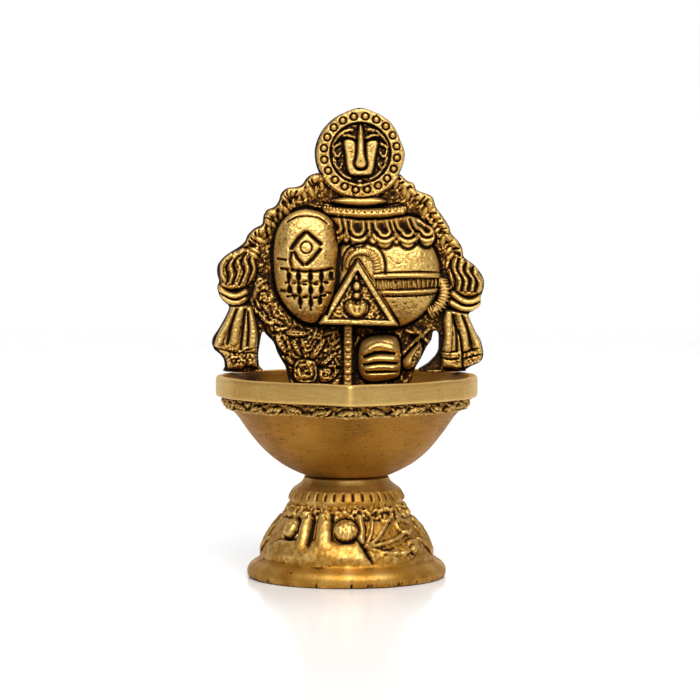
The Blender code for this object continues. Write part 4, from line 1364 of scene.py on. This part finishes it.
def row_tree():
    """One element on each of a number of even steps along a guide line, its Z axis facing out."""
    tree = bpy.data.node_groups.get("Ornament Row")
    if tree:
        return tree
    tree = bpy.data.node_groups.new("Ornament Row", "GeometryNodeTree")
    tree.interface.new_socket("Geometry", in_out="INPUT", socket_type="NodeSocketGeometry")
    for label, kind, start in (
        ("Element", "NodeSocketObject", None),
        ("Count", "NodeSocketInt", 10),
        ("Size", "NodeSocketFloat", 1.0),
        ("Last Size", "NodeSocketFloat", 1.0),
        ("Turn", "NodeSocketFloat", 0.0),
        ("Sink", "NodeSocketFloat", 0.0),
        ("Unevenness", "NodeSocketFloat", 0.05),
        ("Seed", "NodeSocketInt", 1),
        ("Finish", "NodeSocketMaterial", None),
    ):
        socket = tree.interface.new_socket(label, in_out="INPUT", socket_type=kind)
        if start is not None:
            socket.default_value = start
    tree.interface.new_socket("Geometry", in_out="OUTPUT", socket_type="NodeSocketGeometry")
    inputs = node(tree, "NodeGroupInput")
    curve = node(tree, "GeometryNodeMeshToCurve")
    spots = node(tree, "GeometryNodeCurveToPoints", mode="COUNT")
    facing = node(tree, "GeometryNodeInputNamedAttribute", data_type="FLOAT_VECTOR")
    facing.inputs["Name"].default_value = "facing"
    sunk = node(tree, "ShaderNodeVectorMath", operation="SCALE")
    depth = node(tree, "ShaderNodeMath", operation="MULTIPLY")
    depth.inputs[1].default_value = -1.0
    shift = node(tree, "GeometryNodeSetPosition")
    along = node(tree, "FunctionNodeAlignRotationToVector", axis="X")
    outward = node(tree, "FunctionNodeAlignRotationToVector", axis="Z", pivot_axis="X")
    spare = node(tree, "ShaderNodeMath", operation="MULTIPLY")
    spare.inputs[1].default_value = -1.0
    tilt = node(tree, "FunctionNodeRandomValue", data_type="FLOAT")
    angle = node(tree, "ShaderNodeMath", operation="ADD")
    twist = node(tree, "FunctionNodeAxisAngleToRotation")
    turned = node(tree, "FunctionNodeRotateRotation", rotation_space="LOCAL")
    index = node(tree, "GeometryNodeInputIndex")
    last = node(tree, "ShaderNodeMath", operation="SUBTRACT")
    last.inputs[1].default_value = 0.999
    share = node(tree, "ShaderNodeMath", operation="DIVIDE")
    size = node(tree, "ShaderNodeMix", data_type="FLOAT")
    growth = node(tree, "FunctionNodeRandomValue", data_type="FLOAT")
    low = node(tree, "ShaderNodeMath", operation="SUBTRACT")
    low.inputs[0].default_value = 1.0
    high = node(tree, "ShaderNodeMath", operation="ADD")
    high.inputs[0].default_value = 1.0
    scale = node(tree, "ShaderNodeMath", operation="MULTIPLY")
    element = node(tree, "GeometryNodeObjectInfo", transform_space="ORIGINAL")
    laid = node(tree, "GeometryNodeInstanceOnPoints")
    real = node(tree, "GeometryNodeRealizeInstances")
    finish = node(tree, "GeometryNodeSetMaterial")
    output = node(tree, "NodeGroupOutput")
    link(tree, inputs, "Geometry", curve, "Mesh")
    link(tree, curve, "Curve", spots, "Curve")
    link(tree, inputs, "Count", spots, "Count")
    link(tree, inputs, "Sink", depth, 0)
    link(tree, facing, "Attribute", sunk, 0)
    link(tree, depth, 0, sunk, "Scale")
    link(tree, spots, "Points", shift, "Geometry")
    link(tree, sunk, "Vector", shift, "Offset")
    link(tree, spots, "Tangent", along, "Vector")
    link(tree, along, "Rotation", outward, "Rotation")
    link(tree, facing, "Attribute", outward, "Vector")
    link(tree, inputs, "Unevenness", spare, 0)
    link(tree, spare, 0, tilt, "Min")
    link(tree, inputs, "Unevenness", tilt, "Max")
    link(tree, inputs, "Seed", tilt, "Seed")
    link(tree, inputs, "Turn", angle, 0)
    link(tree, tilt, "Value", angle, 1)
    link(tree, angle, 0, twist, "Angle")
    link(tree, outward, "Rotation", turned, "Rotation")
    link(tree, twist, "Rotation", turned, "Rotate By")
    link(tree, inputs, "Count", last, 0)
    link(tree, index, "Index", share, 0)
    link(tree, last, 0, share, 1)
    link(tree, share, 0, size, "Factor")
    link(tree, inputs, "Size", size, "A")
    link(tree, inputs, "Last Size", size, "B")
    link(tree, inputs, "Unevenness", low, 1)
    link(tree, inputs, "Unevenness", high, 1)
    link(tree, low, 0, growth, "Min")
    link(tree, high, 0, growth, "Max")
    link(tree, inputs, "Seed", growth, "Seed")
    link(tree, size, "Result", scale, 0)
    link(tree, growth, "Value", scale, 1)
    link(tree, inputs, "Element", element, "Object")
    link(tree, shift, "Geometry", laid, "Points")
    link(tree, element, "Geometry", laid, "Instance")
    link(tree, turned, "Rotation", laid, "Rotation")
    link(tree, scale, 0, laid, "Scale")
    link(tree, laid, "Instances", real, "Geometry")
    link(tree, real, "Geometry", finish, "Geometry")
    link(tree, inputs, "Finish", finish, "Material")
    link(tree, finish, "Geometry", output, "Geometry")
    return tree


def guide_mesh(points, facings, closed):
    """A guide line in metres whose points know which way is out of the casting."""
    mesh = bpy.data.meshes.new("guide")
    count = len(points)
    edges = [(i, i + 1) for i in range(count - 1)] + ([(count - 1, 0)] if closed else [])
    mesh.from_pydata(np.asarray(points) * MM, edges, [])
    layer = mesh.attributes.new("facing", "FLOAT_VECTOR", "POINT")
    layer.data.foreach_set("vector", np.asarray(facings, np.float32).ravel())
    return mesh


def lay_row(name, guide, element, finish, replaced, **values):
    """Lays copies of an element mesh along a guide mesh, and puts the result on show."""
    pattern = on_scene("element", element)
    holder = on_scene(name, guide)
    tree = row_tree()
    row = holder.modifiers.new("Ornament Row", "NODES")
    row.node_group = tree
    values.update({"Element": pattern, "Finish": finish})
    for item in tree.interface.items_tree:
        if item.item_type == "SOCKET" and item.in_out == "INPUT" and item.name in values:
            row[item.identifier] = values[item.name]
    mesh = finished_mesh(holder)
    mesh.name = name
    bpy.data.objects.remove(holder)
    bpy.data.objects.remove(pattern)
    if not mesh.polygons:
        raise RuntimeError(f"{name}: the row came out empty")
    mesh.shade_smooth()
    return add_piece(name, mesh, replaced)


def on_plate(field, points, lift=0.0, steps=6):
    """A guide line lying on the relief: points in the plate's u and v turned to places and facings."""
    line = smooth_line(points, steps=steps)
    smooth = blurred(field.h, 0.5 / field.cell)
    slope_v, slope_u = np.gradient(smooth, field.cell)
    u, v = line.T
    h = field.at(smooth, u, v) + lift
    facing = np.stack([-field.at(slope_u, u, v), -np.ones_like(u), -field.at(slope_v, u, v)], -1)
    facing[:, [0, 2]] *= 0.5
    facing /= np.linalg.norm(facing, axis=1, keepdims=True)
    return guide_mesh(np.stack([AXIS_X + u, PLATE_GROUND - h, v], -1), facing, closed=False)


# --- Elements -------------------------------------------------------------------------------------------
def pebble_element(half_length, half_width, height, pointed=1.0):
    """A rounded lump for beads, ribs and leaves. pointed under 1 draws its Y ends out to tips."""
    bm = bmesh.new()
    bmesh.ops.create_uvsphere(bm, u_segments=14, v_segments=8, radius=1.0)
    marks = []
    for vert in bm.verts:
        taper = (1 - abs(vert.co.y) ** 2) ** (1 - pointed) if abs(vert.co.y) < 1 else 0.0
        squared = math.copysign(abs(vert.co.z) ** 0.8, vert.co.z)
        vert.co = (vert.co.x * half_width * taper * MM, vert.co.y * half_length * MM, squared * height * MM)
        marks.append(-1.9 + 2.7 * math.sqrt(max(0.0, squared)))
    mesh = bpy.data.meshes.new("pebble")
    bm.to_mesh(mesh)
    bm.free()
    mark_mesh(mesh, marks)
    return mesh


# --- Finishes -------------------------------------------------------------------------------------------
STAIN_REACH = 0.235  # how far one unit of stain moves the tone
MIDDLE_TONE = 0.41


def material_named(name):
    """The material of that name, its node tree and its shader."""
    material = bpy.data.materials.get(name) or bpy.data.materials.new(name)
    material.use_nodes = True
    tree = material.node_tree
    return material, tree, tree.nodes["Principled BSDF"]


def ramp(tree, factor, stops):
    """The colour, or the level of grey, that a factor gives."""
    made = node(tree, "ShaderNodeValToRGB")
    steps = made.color_ramp.elements
    while len(steps) < len(stops):
        steps.new(0.5)
    for step, (position, colour) in zip(steps, stops):
        step.position = position
        step.color = (colour, colour, colour, 1.0) if isinstance(colour, float) else (*colour, 1.0)
    tree.links.new(factor, made.inputs["Fac"])
    return made.outputs["Color"]


def mottled(tree, scale, detail, stretch=(1.0, 1.0, 1.0)):
    """Noise on the object's own coordinates. scale is in lumps per millimetre."""
    where = node(tree, "ShaderNodeTexCoord")
    mapping = node(tree, "ShaderNodeMapping")
    mapping.inputs["Scale"].default_value = stretch
    noise = node(tree, "ShaderNodeTexNoise")
    noise.inputs["Scale"].default_value = scale / MM
    noise.inputs["Detail"].default_value = detail
    link(tree, where, "Object", mapping, "Vector")
    link(tree, mapping, "Vector", noise, "Vector")
    return noise.outputs["Fac"]


def calculated(tree, operation, *values):
    """A Math node's result. Each value is a number or another node's output."""
    made = node(tree, "ShaderNodeMath", operation=operation)
    for socket, value in zip(made.inputs, values):
        if isinstance(value, bpy.types.NodeSocket):
            tree.links.new(value, socket)
        else:
            socket.default_value = value
    return made.outputs[0]


def dented(tree, height, strength, depth, normal=None):
    """A Bump node's normal, over another one's where there is one. depth is in millimetres."""
    made = node(tree, "ShaderNodeBump")
    made.inputs["Strength"].default_value = strength
    made.inputs["Distance"].default_value = depth * MM
    tree.links.new(height, made.inputs["Height"])
    if normal is not None:
        tree.links.new(normal, made.inputs["Normal"])
    return made.outputs["Normal"]


def antique_brass(name, finish, wear=0.0, streaks=0.0, pits=1.0, gloss=0.0, mottle=0.26, warm=False):
    """Cast brass: black-brown patina where the stain attribute is low, polished metal where it is high; the
    attribute also holds painted shade on the plate and a painted highlight on the pedestal's collar.
    """
    material = bpy.data.materials.get(name)
    if material:
        return material
    material, tree, shader = material_named(name)
    shader.inputs["Specular IOR Level"].default_value = 0.15
    # The stain attribute: patina and wear, with painted shade on the plate's left-facing edges and round the
    # palm, and a painted highlight on the pedestal's collar.
    stained = node(tree, "ShaderNodeAttribute", attribute_name="stain").outputs["Fac"]
    speckle = mottled(tree, 3.2, 3.0)
    tone = calculated(tree, "MULTIPLY_ADD", stained, STAIN_REACH, MIDDLE_TONE + wear - mottle / 2)
    normal = dented(tree, speckle, 0.8 * pits, 0.06)
    normal = dented(tree, mottled(tree, 7.5, 2.0), 0.45 * pits, 0.025, normal)
    if streaks:
        brushed = mottled(tree, 0.7, 5.0, stretch=(0.3, 0.3, 7.0))
        tone = calculated(tree, "MULTIPLY_ADD", brushed, 0.3 * streaks, tone)
        normal = dented(tree, brushed, streaks, 0.02, normal)
    tone = calculated(tree, "MULTIPLY_ADD", mottled(tree, 0.22, 4.0), mottle, tone)
    tone = calculated(tree, "MULTIPLY_ADD", speckle, 0.24 + 0.12 * (pits - 0.4), tone)
    pocks = ramp(tree, mottled(tree, 1.5, 2.0), ((0.64, 0.0), (0.74, 0.45 * pits)))
    tone = calculated(tree, "SUBTRACT", tone, pocks)
    brown, brass = (finish.amber, finish.honey) if warm else (finish.umber, finish.metal)
    colours = (
        (0.0, finish.patina), (0.2, finish.patina), (0.38, brown), (0.56, brass), (0.86, finish.polish),
    )
    dull = ((0.15, 0.8), (0.42, 0.6 - gloss), (0.8, finish.gloss - gloss))
    metallic = ((0.16, 0.25), (0.4, 0.92), (0.55, 1.0))
    for socket, stops in (("Base Color", colours), ("Roughness", dull), ("Metallic", metallic)):
        tree.links.new(ramp(tree, tone, stops), shader.inputs[socket])
    tree.links.new(normal, shader.inputs["Normal"])
    return material


def turned_metal(name, colour, roughness):
    """Machined metal with fine rings of tool marks and a little tarnish, for the fasteners."""
    material, tree, shader = material_named(name)
    tarnish = mottled(tree, 0.6, 4.0)
    dark = tuple(0.35 * channel for channel in colour)
    gloss = ((0.3, roughness + 0.2), (0.7, roughness))
    tree.links.new(ramp(tree, tarnish, ((0.3, dark), (0.6, colour))), shader.inputs["Base Color"])
    tree.links.new(ramp(tree, tarnish, gloss), shader.inputs["Roughness"])
    marks = mottled(tree, 2.5, 3.0, stretch=(0.3, 0.3, 5.0))
    tree.links.new(dented(tree, marks, 0.3, 0.03), shader.inputs["Normal"])
    shader.inputs["Metallic"].default_value = 1.0
    return material


# --- User's settings ------------------------------------------------------------------------------------
class LampSizes(bpy.types.PropertyGroup):
    cell: FloatProperty(
        name="Relief Cell", description="Grid step of the sculpted plate, in millimetres", default=0.12,
        min=0.08,
    )
    plate_split: FloatProperty(
        name="Plate Back Depth",
        description="Depth below the ground where the back face begins, in millimetres", default=2.0,
    )
    bead_count: IntProperty(
        name="Column Beads", description="Beads on the column under the triangle", default=9, min=2,
    )
    pearl_count: IntProperty(
        name="Neck Pearls", description="Pearls round the pot's neck", default=24, min=4,
    )


class LampFinish(bpy.types.PropertyGroup):
    patina: FloatVectorProperty(
        name="Patina", description="Black patina left in the recesses", subtype="COLOR",
        default=(0.011, 0.005, 0.002),
    )
    umber: FloatVectorProperty(
        name="Umber", description="Brown tone at the patina's edge", subtype="COLOR",
        default=(0.1, 0.039, 0.007),
    )
    metal: FloatVectorProperty(
        name="Metal", description="Aged brass of the open surfaces", subtype="COLOR",
        default=(0.38, 0.2, 0.038),
    )
    amber: FloatVectorProperty(
        name="Amber", description="Deep brass low on the turned surfaces", subtype="COLOR",
        default=(0.3, 0.13, 0.012),
    )
    honey: FloatVectorProperty(
        name="Honey", description="Warm brass of the turned surfaces", subtype="COLOR",
        default=(0.41, 0.205, 0.032),
    )
    polish: FloatVectorProperty(
        name="Polish", description="Rubbed brass of the high points", subtype="COLOR",
        default=(0.68, 0.46, 0.15),
    )
    gloss: FloatProperty(
        name="Polished Roughness", description="Roughness of the rubbed high points", default=0.5,
        min=0.0, max=1.0, subtype="FACTOR",
    )


class LampStage(bpy.types.PropertyGroup):
    distance: FloatProperty(
        name="Camera Distance", description="From the lamp's axis", default=0.555, unit="LENGTH"
    )
    azimuth: FloatProperty(
        name="Camera Azimuth", description="Round the lamp, from the front", default=math.radians(-1.2),
        subtype="ANGLE",
    )
    camera_height: FloatProperty(
        name="Camera Height", description="Above the table", default=0.0785, unit="LENGTH",
    )
    aim_height: FloatProperty(
        name="Aim Height", description="Height that the camera looks at", default=0.0492, unit="LENGTH",
    )
    aim_side: FloatProperty(
        name="Aim Side", description="Sideways shift of the aim", default=0.00076, unit="LENGTH",
    )
    lens: FloatProperty(name="Lens", description="Focal length in millimetres", default=131.7)
    key_power: FloatProperty(
        name="Key Light", description="Power of the top-front softbox, in watts", default=2.4,
    )
    even_light: FloatProperty(
        name="Even Light", description="Strength of the broad light from above", default=2.9,
    )
    world_light: FloatProperty(
        name="Room Light", description="Strength of the even white surroundings", default=0.3,
    )


def sizes():
    return bpy.context.scene.lamp_sizes


def finish():
    return bpy.context.scene.lamp_finish


SCULPTED = {}


def plate_field():
    """The sculpted plate, made once for every operator that needs it."""
    if "plate" not in SCULPTED:
        field, away = build_plate_field(sizes().cell)
        cell = field.cell
        rubbed = np.clip((blurred(field.h, 0.6 / cell) - 1.6) / 4.0, 0, 0.85)
        lowland = np.clip((2.2 - blurred(field.h, 0.9 / cell)) / 1.0, 0, 1)
        marks = 1.05 * stain(np.where(away < 0.1, field.h, 0.0), cell) - 0.3 + 1.1 * rubbed
        marks = marks * (1 - 0.25 * lowland) - 0.52 * lowland
        marks -= 0.5 * lowland * np.minimum(marks + 0.8, 0)
        marks -= 0.2 * (np.hypot(field.u - MEDALLION[0], field.v - MEDALLION[1]) < MEDALLION_RADIUS)
        # Painted shade: the plate darkened along its left-facing edges, the side turned away from the light.
        marks -= 2.0 * leftward(field, away) * np.clip(1 + away / 0.6, 0, 1)
        marks += 0.3 * field.grain(0.13, 7)
        marks -= 1.5 * np.clip(field.grain(0.17, 8) - 1.0 - 0.8 * rubbed, 0, 1.0)
        # Patina and painted shade: the palm darkened towards its edges, most on its lower and left sides,
        # which turn away from the light.
        palm = inside_palm(field)
        lower = np.clip((PALM[1] + 3 - field.v) / 12, 0, 1) + 0.5 * np.clip((PALM[0] - field.u) / 6, 0, 1)
        marks -= (palm < 0) * (0.2 + (0.9 + 1.5 * lower) * np.clip(1 + palm / 3.0, 0, 1) ** 1.2)
        marks -= 0.45 * np.clip((50.0 - field.v) / 6, 0, 1) * (palm > 0)
        SCULPTED["plate"] = (field, away, marks)
    return SCULPTED["plate"]


def place_front(u, v, h):
    return np.stack([AXIS_X + u, PLATE_GROUND - h, v], -1)


def place_back(u, v, h):
    return np.stack([AXIS_X - u, PLATE_BACK + h, v], -1)


class LAMP_OT_plate(bpy.types.Operator):
    """Casts the relief plate's front, in parts that share one sculpted surface"""

    bl_idname = "lamp.plate"
    bl_label = "Relief Plate"

    def execute(self, context):
        field, away, marks = plate_field()
        brass = antique_brass("relief_brass", finish())
        disc = np.hypot(field.u - MEDALLION[0], field.v - MEDALLION[1]) - MEDALLION_RADIUS - 0.1
        palm = inside_palm(field) - 0.25
        rest = np.maximum.reduce([away, -disc, -palm, LEG_TOP - field.v])
        parts = {
            "medallion": np.maximum(away, disc),
            "open_palm": np.maximum(away, palm),
            "left_tassel": np.maximum(rest, field.u - LEFT_CUT),
            "right_tassel": np.maximum(rest, RIGHT_CUT - field.u),
            "kalash_relief": np.maximum.reduce([rest, LEFT_CUT - field.u, field.u - RIGHT_CUT]),
        }
        for name, region in parts.items():
            mesh = cast_mesh(name, field, region, marks, place_front, -sizes().plate_split, 0.12)
            add_piece(name, mesh, "relief_plate", brass)
        return {"FINISHED"}


class LAMP_OT_plate_back(bpy.types.Operator):
    """Casts the plate's rough back, its leg and the bent tongue that the bolt clamps"""

    bl_idname = "lamp.plate_back"
    bl_label = "Plate Back and Tongue"

    def execute(self, context):
        brass = antique_brass("back_brass", finish(), wear=-0.02)
        field, away, _ = plate_field()
        back = Field((-32.0, 27.0), (31.0, 103.0), 0.26)
        edge = field.at(away, -back.u, back.v)
        front = np.maximum(field.at(blurred(field.h, 1.6 / field.cell), -back.u, back.v), 0)
        back.h += -0.16 * np.clip(front - 1.0, 0, 4) + 0.07 * grain(back.h.shape, 4, 101)
        back.h += 0.05 * worms(back.h.shape, 1.6, 102) - 0.5 * (1 - rounded(edge, 0.9))
        marks = 0.15 + 0.7 * stain(back.h, back.cell) - 0.1 * np.clip(front - 1.5, 0, 2)
        mesh = cast_mesh("plate_back", back, edge + 0.02, marks, place_back, -1.15, 0.0)
        add_piece("plate_back", mesh, "relief_plate", brass)
        leg = Field((-16.0, 27.4), (16.0, 41.0), 0.2)
        low = np.maximum(field.at(away, leg.u, leg.v), leg.v - LEG_TOP)
        leg.h += field.at(field.h, leg.u, leg.v)
        marks = stain(leg.h, leg.cell) - 0.6
        mesh = cast_mesh("plate_leg", leg, low, marks, place_front, -sizes().plate_split, 0.0)
        add_piece("plate_leg", mesh, "relief_plate", brass)
        add_piece("bolt_tongue", tongue_mesh(), "relief_plate", brass)
        return {"FINISHED"}


def tongue_mesh():
    """A strap that lies on the bowl's floor under the bolt and bends up into the plate's leg."""
    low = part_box("relief_plate")[0].z / MM
    half_thick = 1.0
    path = [(-5.2, 0.0), (-2.0, 0.0), (2.0, 0.0), (5.6, 0.15), (8.3, 1.7), (10.1, 4.0), (10.5, 6.6)]
    across = np.linspace(-1, 1, 13)
    bm = bmesh.new()
    sheet = []
    for y, rise in smooth_line(path, steps=5):
        half = 3.4 if y > 4.0 else max(3.4 * (y > 0), math.sqrt(max(5.2**2 - y**2, 0.0)))
        half = max(half, 0.4)
        back, high = (AXIS_Y + y) * MM, (low + half_thick + rise) * MM
        sheet.append([bm.verts.new(((AXIS_X + s * half) * MM, back, high)) for s in across])
    for a, b in zip(sheet, sheet[1:]):
        for i in range(len(across) - 1):
            bm.faces.new((a[i], a[i + 1], b[i + 1], b[i]))
    mesh = bpy.data.meshes.new("bolt_tongue")
    bm.to_mesh(mesh)
    bm.free()
    strap = on_scene("bolt_tongue", mesh)
    wall = strap.modifiers.new("wall", "SOLIDIFY")
    wall.thickness = 2 * half_thick * MM
    wall.offset = 0.0
    drill = on_scene("drill", bpy.data.meshes.new("drill"))
    bm = bmesh.new()
    centre = Matrix.Translation((AXIS_X * MM, AXIS_Y * MM, (low + 1) * MM))
    size = {"radius1": BOLT_HOLE * MM, "radius2": BOLT_HOLE * MM, "depth": 8 * MM}
    bmesh.ops.create_cone(bm, cap_ends=True, segments=40, matrix=centre, **size)
    bm.to_mesh(drill.data)
    bm.free()
    cut = strap.modifiers.new("bolt hole", "BOOLEAN")
    cut.operation = "DIFFERENCE"
    cut.object = drill
    bevel = strap.modifiers.new("edges", "BEVEL")
    bevel.width = 0.35 * MM
    bevel.segments = 3
    bevel.limit_method = "ANGLE"
    bevel.angle_limit = math.radians(50)
    result = finished_mesh(strap)
    bpy.data.objects.remove(strap)
    bpy.data.objects.remove(drill)
    mark_mesh(result, [-0.3] * len(result.vertices))
    result.shade_smooth()
    result.set_sharp_from_angle(angle=math.radians(35))
    return result


class LAMP_OT_plate_ornament(bpy.types.Operator):
    """Lays the plate's pearls, ribs, beads, garland leaves and studs along their guide lines"""

    bl_idname = "lamp.plate_ornament"
    bl_label = "Plate Ornament"

    def execute(self, context):
        field, _, _ = plate_field()
        brass = antique_brass("relief_brass", finish())
        size = sizes()
        common = {"finish": brass, "replaced": "relief_plate"}
        column = [COLUMN_TOP, COLUMN_FOOT]
        garland_leaf = (1.35, 0.6, 0.9, 0.6)
        for name, line, lift, lump, values in (
            # lump: half length, half width, height. Values: count, size, last size, turn, unevenness, seed.
            ("neck_pearls", PEARL_LINE, 0.1, (0.42, 0.4, 0.45), (size.pearl_count, 1.0, 1.0, 0.0, 0.12, 4)),
            ("strap_ribs", STRAP_LINE, 0.0, (1.15, 0.29, 0.7), (14, 1.0, 1.0, 0.0, 0.2, 5)),
            ("fan_ribs", FAN_LINE, -0.1, (1.4, 0.3, 0.6), (13, 0.9, 1.1, 0.0, 0.1, 6)),
            ("arch_ribs", ARCH_LINE, -0.1, (1.0, 0.3, 0.5), (12, 0.9, 1.1, 0.0, 0.12, 7)),
            ("column_beads", column, 0.1, (0.98, 0.66, 0.75), (size.bead_count, 1.0, 0.85, 0.0, 0.08, 8)),
            ("left_garland", LEFT_GARLAND, -0.1, garland_leaf, (17, 1.0, 0.9, -0.35, 0.4, 9)),
            ("right_garland", RIGHT_GARLAND, -0.1, garland_leaf, (17, 1.0, 0.9, 0.35, 0.4, 9)),
        ):
            inputs = dict(zip(("Count", "Size", "Last Size", "Turn", "Unevenness", "Seed"), values))
            lay_row(name, on_plate(field, line, lift), pebble_element(*lump), **inputs, **common)
        places = np.array([(AXIS_X + u, PLATE_GROUND - STUD_FOOT, v) for u, v in dot_places()])
        guide = guide_mesh(places, np.tile([0.0, -1.0, 0.0], (DOTS, 1)), closed=True)
        stud = pebble_element(0.58, 0.58, 0.36)
        lay_row("medallion_studs", guide, stud, Count=DOTS, Unevenness=0.1, Seed=10, **common)
        return {"FINISHED"}


class LAMP_OT_bowl(bpy.types.Operator):
    """Casts the leaf-shaped bowl and the vine under its rim"""

    bl_idname = "lamp.bowl"
    bl_label = "Bowl"

    def execute(self, context):
        look = {"wear": -0.06, "streaks": 0.8, "pits": 0.45, "gloss": 0.04, "mottle": 0.17, "warm": True}
        satin = antique_brass("satin_brass", finish(), **look)
        relief = antique_brass("relief_brass", finish())
        add_piece("bowl_casting", build_bowl_mesh(), "bowl", satin)
        add_piece("rim_vine", build_vine_mesh(), "bowl", relief)
        return {"FINISHED"}


class LAMP_OT_pedestal(bpy.types.Operator):
    """Casts the bell-shaped pedestal, with its frieze and the slots round its collar"""

    bl_idname = "lamp.pedestal"
    bl_label = "Pedestal"

    def execute(self, context):
        relief = antique_brass("pedestal_brass", finish(), wear=0.02, pits=0.8, warm=True)
        add_piece("pedestal_casting", build_pedestal_mesh(), "pedestal", relief)
        return {"FINISHED"}


class LAMP_OT_fasteners(bpy.types.Operator):
    """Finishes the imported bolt, washers and nut"""

    bl_idname = "lamp.fasteners"
    bl_label = "Fasteners"

    def execute(self, context):
        soft = turned_metal("turned_brass", (0.66, 0.44, 0.16), 0.32)
        zinc = turned_metal("zinc_plate", (0.5, 0.5, 0.48), 0.36)
        for name, material in (
            ("centre_bolt", soft), ("sealing_washer", soft), ("plain_washer", zinc), ("hex_nut", zinc)
        ):
            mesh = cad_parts[name].data
            mesh.materials.clear()
            mesh.materials.append(material)
        return {"FINISHED"}


class LAMP_OT_stage(bpy.types.Operator):
    """Sets up the pale floor, the soft lights and the camera"""

    bl_idname = "lamp.stage"
    bl_label = "Stage"

    def execute(self, context):
        stage = context.scene.lamp_stage
        axis = Vector((AXIS_X * MM, AXIS_Y * MM, 0.0))
        add_floor(axis)
        add_world(stage.world_light)
        add_softbox("key_light", axis + Vector((0.1, -0.5, 0.46)), (0.35, 0.3), stage.key_power, axis)
        add_softbox("top_light", axis + Vector((0.05, 0.12, 0.6)), (0.4, 0.3), stage.key_power * 0.5, axis)
        sun = bpy.data.lights.new("even_light", "SUN")
        sun.energy = stage.even_light
        sun.angle = math.radians(50)
        on_scene("even_light", sun).rotation_euler = (math.radians(40), 0.0, math.radians(2))
        context.scene.view_settings.view_transform = "Standard"
        camera = on_scene("camera", bpy.data.cameras.new("camera"))
        camera.data.lens = stage.lens
        camera.data.sensor_width = 36.0
        camera.data.clip_start = 0.01
        direction = Vector((math.sin(stage.azimuth), -math.cos(stage.azimuth), 0.0))
        camera.location = axis + direction * stage.distance
        camera.location.z = stage.camera_height
        aim = axis + Vector((stage.aim_side, 0.0, stage.aim_height))
        camera.rotation_euler = (aim - camera.location).to_track_quat("-Z", "Y").to_euler()
        context.scene.camera = camera
        return {"FINISHED"}


def add_floor(axis):
    """A wide pale floor that curves up behind."""
    floor = on_scene("floor", bpy.data.meshes.new("floor"))
    half, bend, radius = 3.0, 1.0, 0.6
    path = [(-half, 0.0), (bend, 0.0)]
    turns = np.linspace(0.1, math.pi / 2, 12)
    path += [(bend + math.sin(t) * radius, radius - math.cos(t) * radius) for t in turns]
    path.append((bend + radius, half))
    points = [(x, axis.y + y, z) for y, z in path for x in (-half, half)]
    faces = [(2 * i, 2 * i + 1, 2 * i + 3, 2 * i + 2) for i in range(len(path) - 1)]
    floor.data.from_pydata(points, [], faces)
    floor.data.shade_smooth()
    material, _, shader = material_named("pale_floor")
    shader.inputs["Base Color"].default_value = (*[0.76] * 3, 1.0)
    shader.inputs["Roughness"].default_value = 0.2
    floor.data.materials.append(material)


def add_world(strength):
    world = bpy.data.worlds.new("room")
    bpy.context.scene.world = world
    world.use_nodes = True
    background = world.node_tree.nodes["Background"]
    background.inputs["Color"].default_value = (1.0, 1.0, 1.0, 1.0)
    background.inputs["Strength"].default_value = strength


def add_softbox(name, place, size, power, target):
    light = bpy.data.lights.new(name, "AREA")
    light.shape = "RECTANGLE"
    light.size, light.size_y = size
    light.energy = power
    lamp = on_scene(name, light)
    lamp.location = place
    aim = target + Vector((0.0, 0.0, 0.05)) - place
    lamp.rotation_euler = aim.to_track_quat("-Z", "Y").to_euler()


class LAMP_PT_panel(bpy.types.Panel):
    """Lists the lamp's settings and the operators that build it"""

    bl_idname = "LAMP_PT_panel"
    bl_label = "Oil Lamp"
    bl_space_type = "VIEW_3D"
    bl_region_type = "UI"
    bl_category = "Oil Lamp"

    def draw(self, context):
        layout = self.layout
        for group in (context.scene.lamp_sizes, context.scene.lamp_finish, context.scene.lamp_stage):
            box = layout.box()
            for name in group.__annotations__:
                box.prop(group, name)
        for operator in BUILD_ORDER:
            layout.operator(operator.bl_idname)


BUILD_ORDER = (
    LAMP_OT_stage,
    LAMP_OT_plate,
    LAMP_OT_plate_back,
    LAMP_OT_plate_ornament,
    LAMP_OT_bowl,
    LAMP_OT_pedestal,
    LAMP_OT_fasteners,
)
SETTINGS = {"lamp_sizes": LampSizes, "lamp_finish": LampFinish, "lamp_stage": LampStage}


def register():
    for kind in (*SETTINGS.values(), *BUILD_ORDER, LAMP_PT_panel):
        bpy.utils.register_class(kind)
    for name, kind in SETTINGS.items():
        setattr(bpy.types.Scene, name, PointerProperty(type=kind))


def unregister():
    for name in SETTINGS:
        delattr(bpy.types.Scene, name)
    for kind in reversed((*SETTINGS.values(), *BUILD_ORDER, LAMP_PT_panel)):
        bpy.utils.unregister_class(kind)


def main():
    register()
    bpy.ops.lamp.stage()
    bpy.ops.lamp.plate()
    bpy.ops.lamp.plate_back()
    bpy.ops.lamp.plate_ornament()
    bpy.ops.lamp.bowl()
    bpy.ops.lamp.pedestal()
    bpy.ops.lamp.fasteners()


if __name__ == "__main__":
    main()
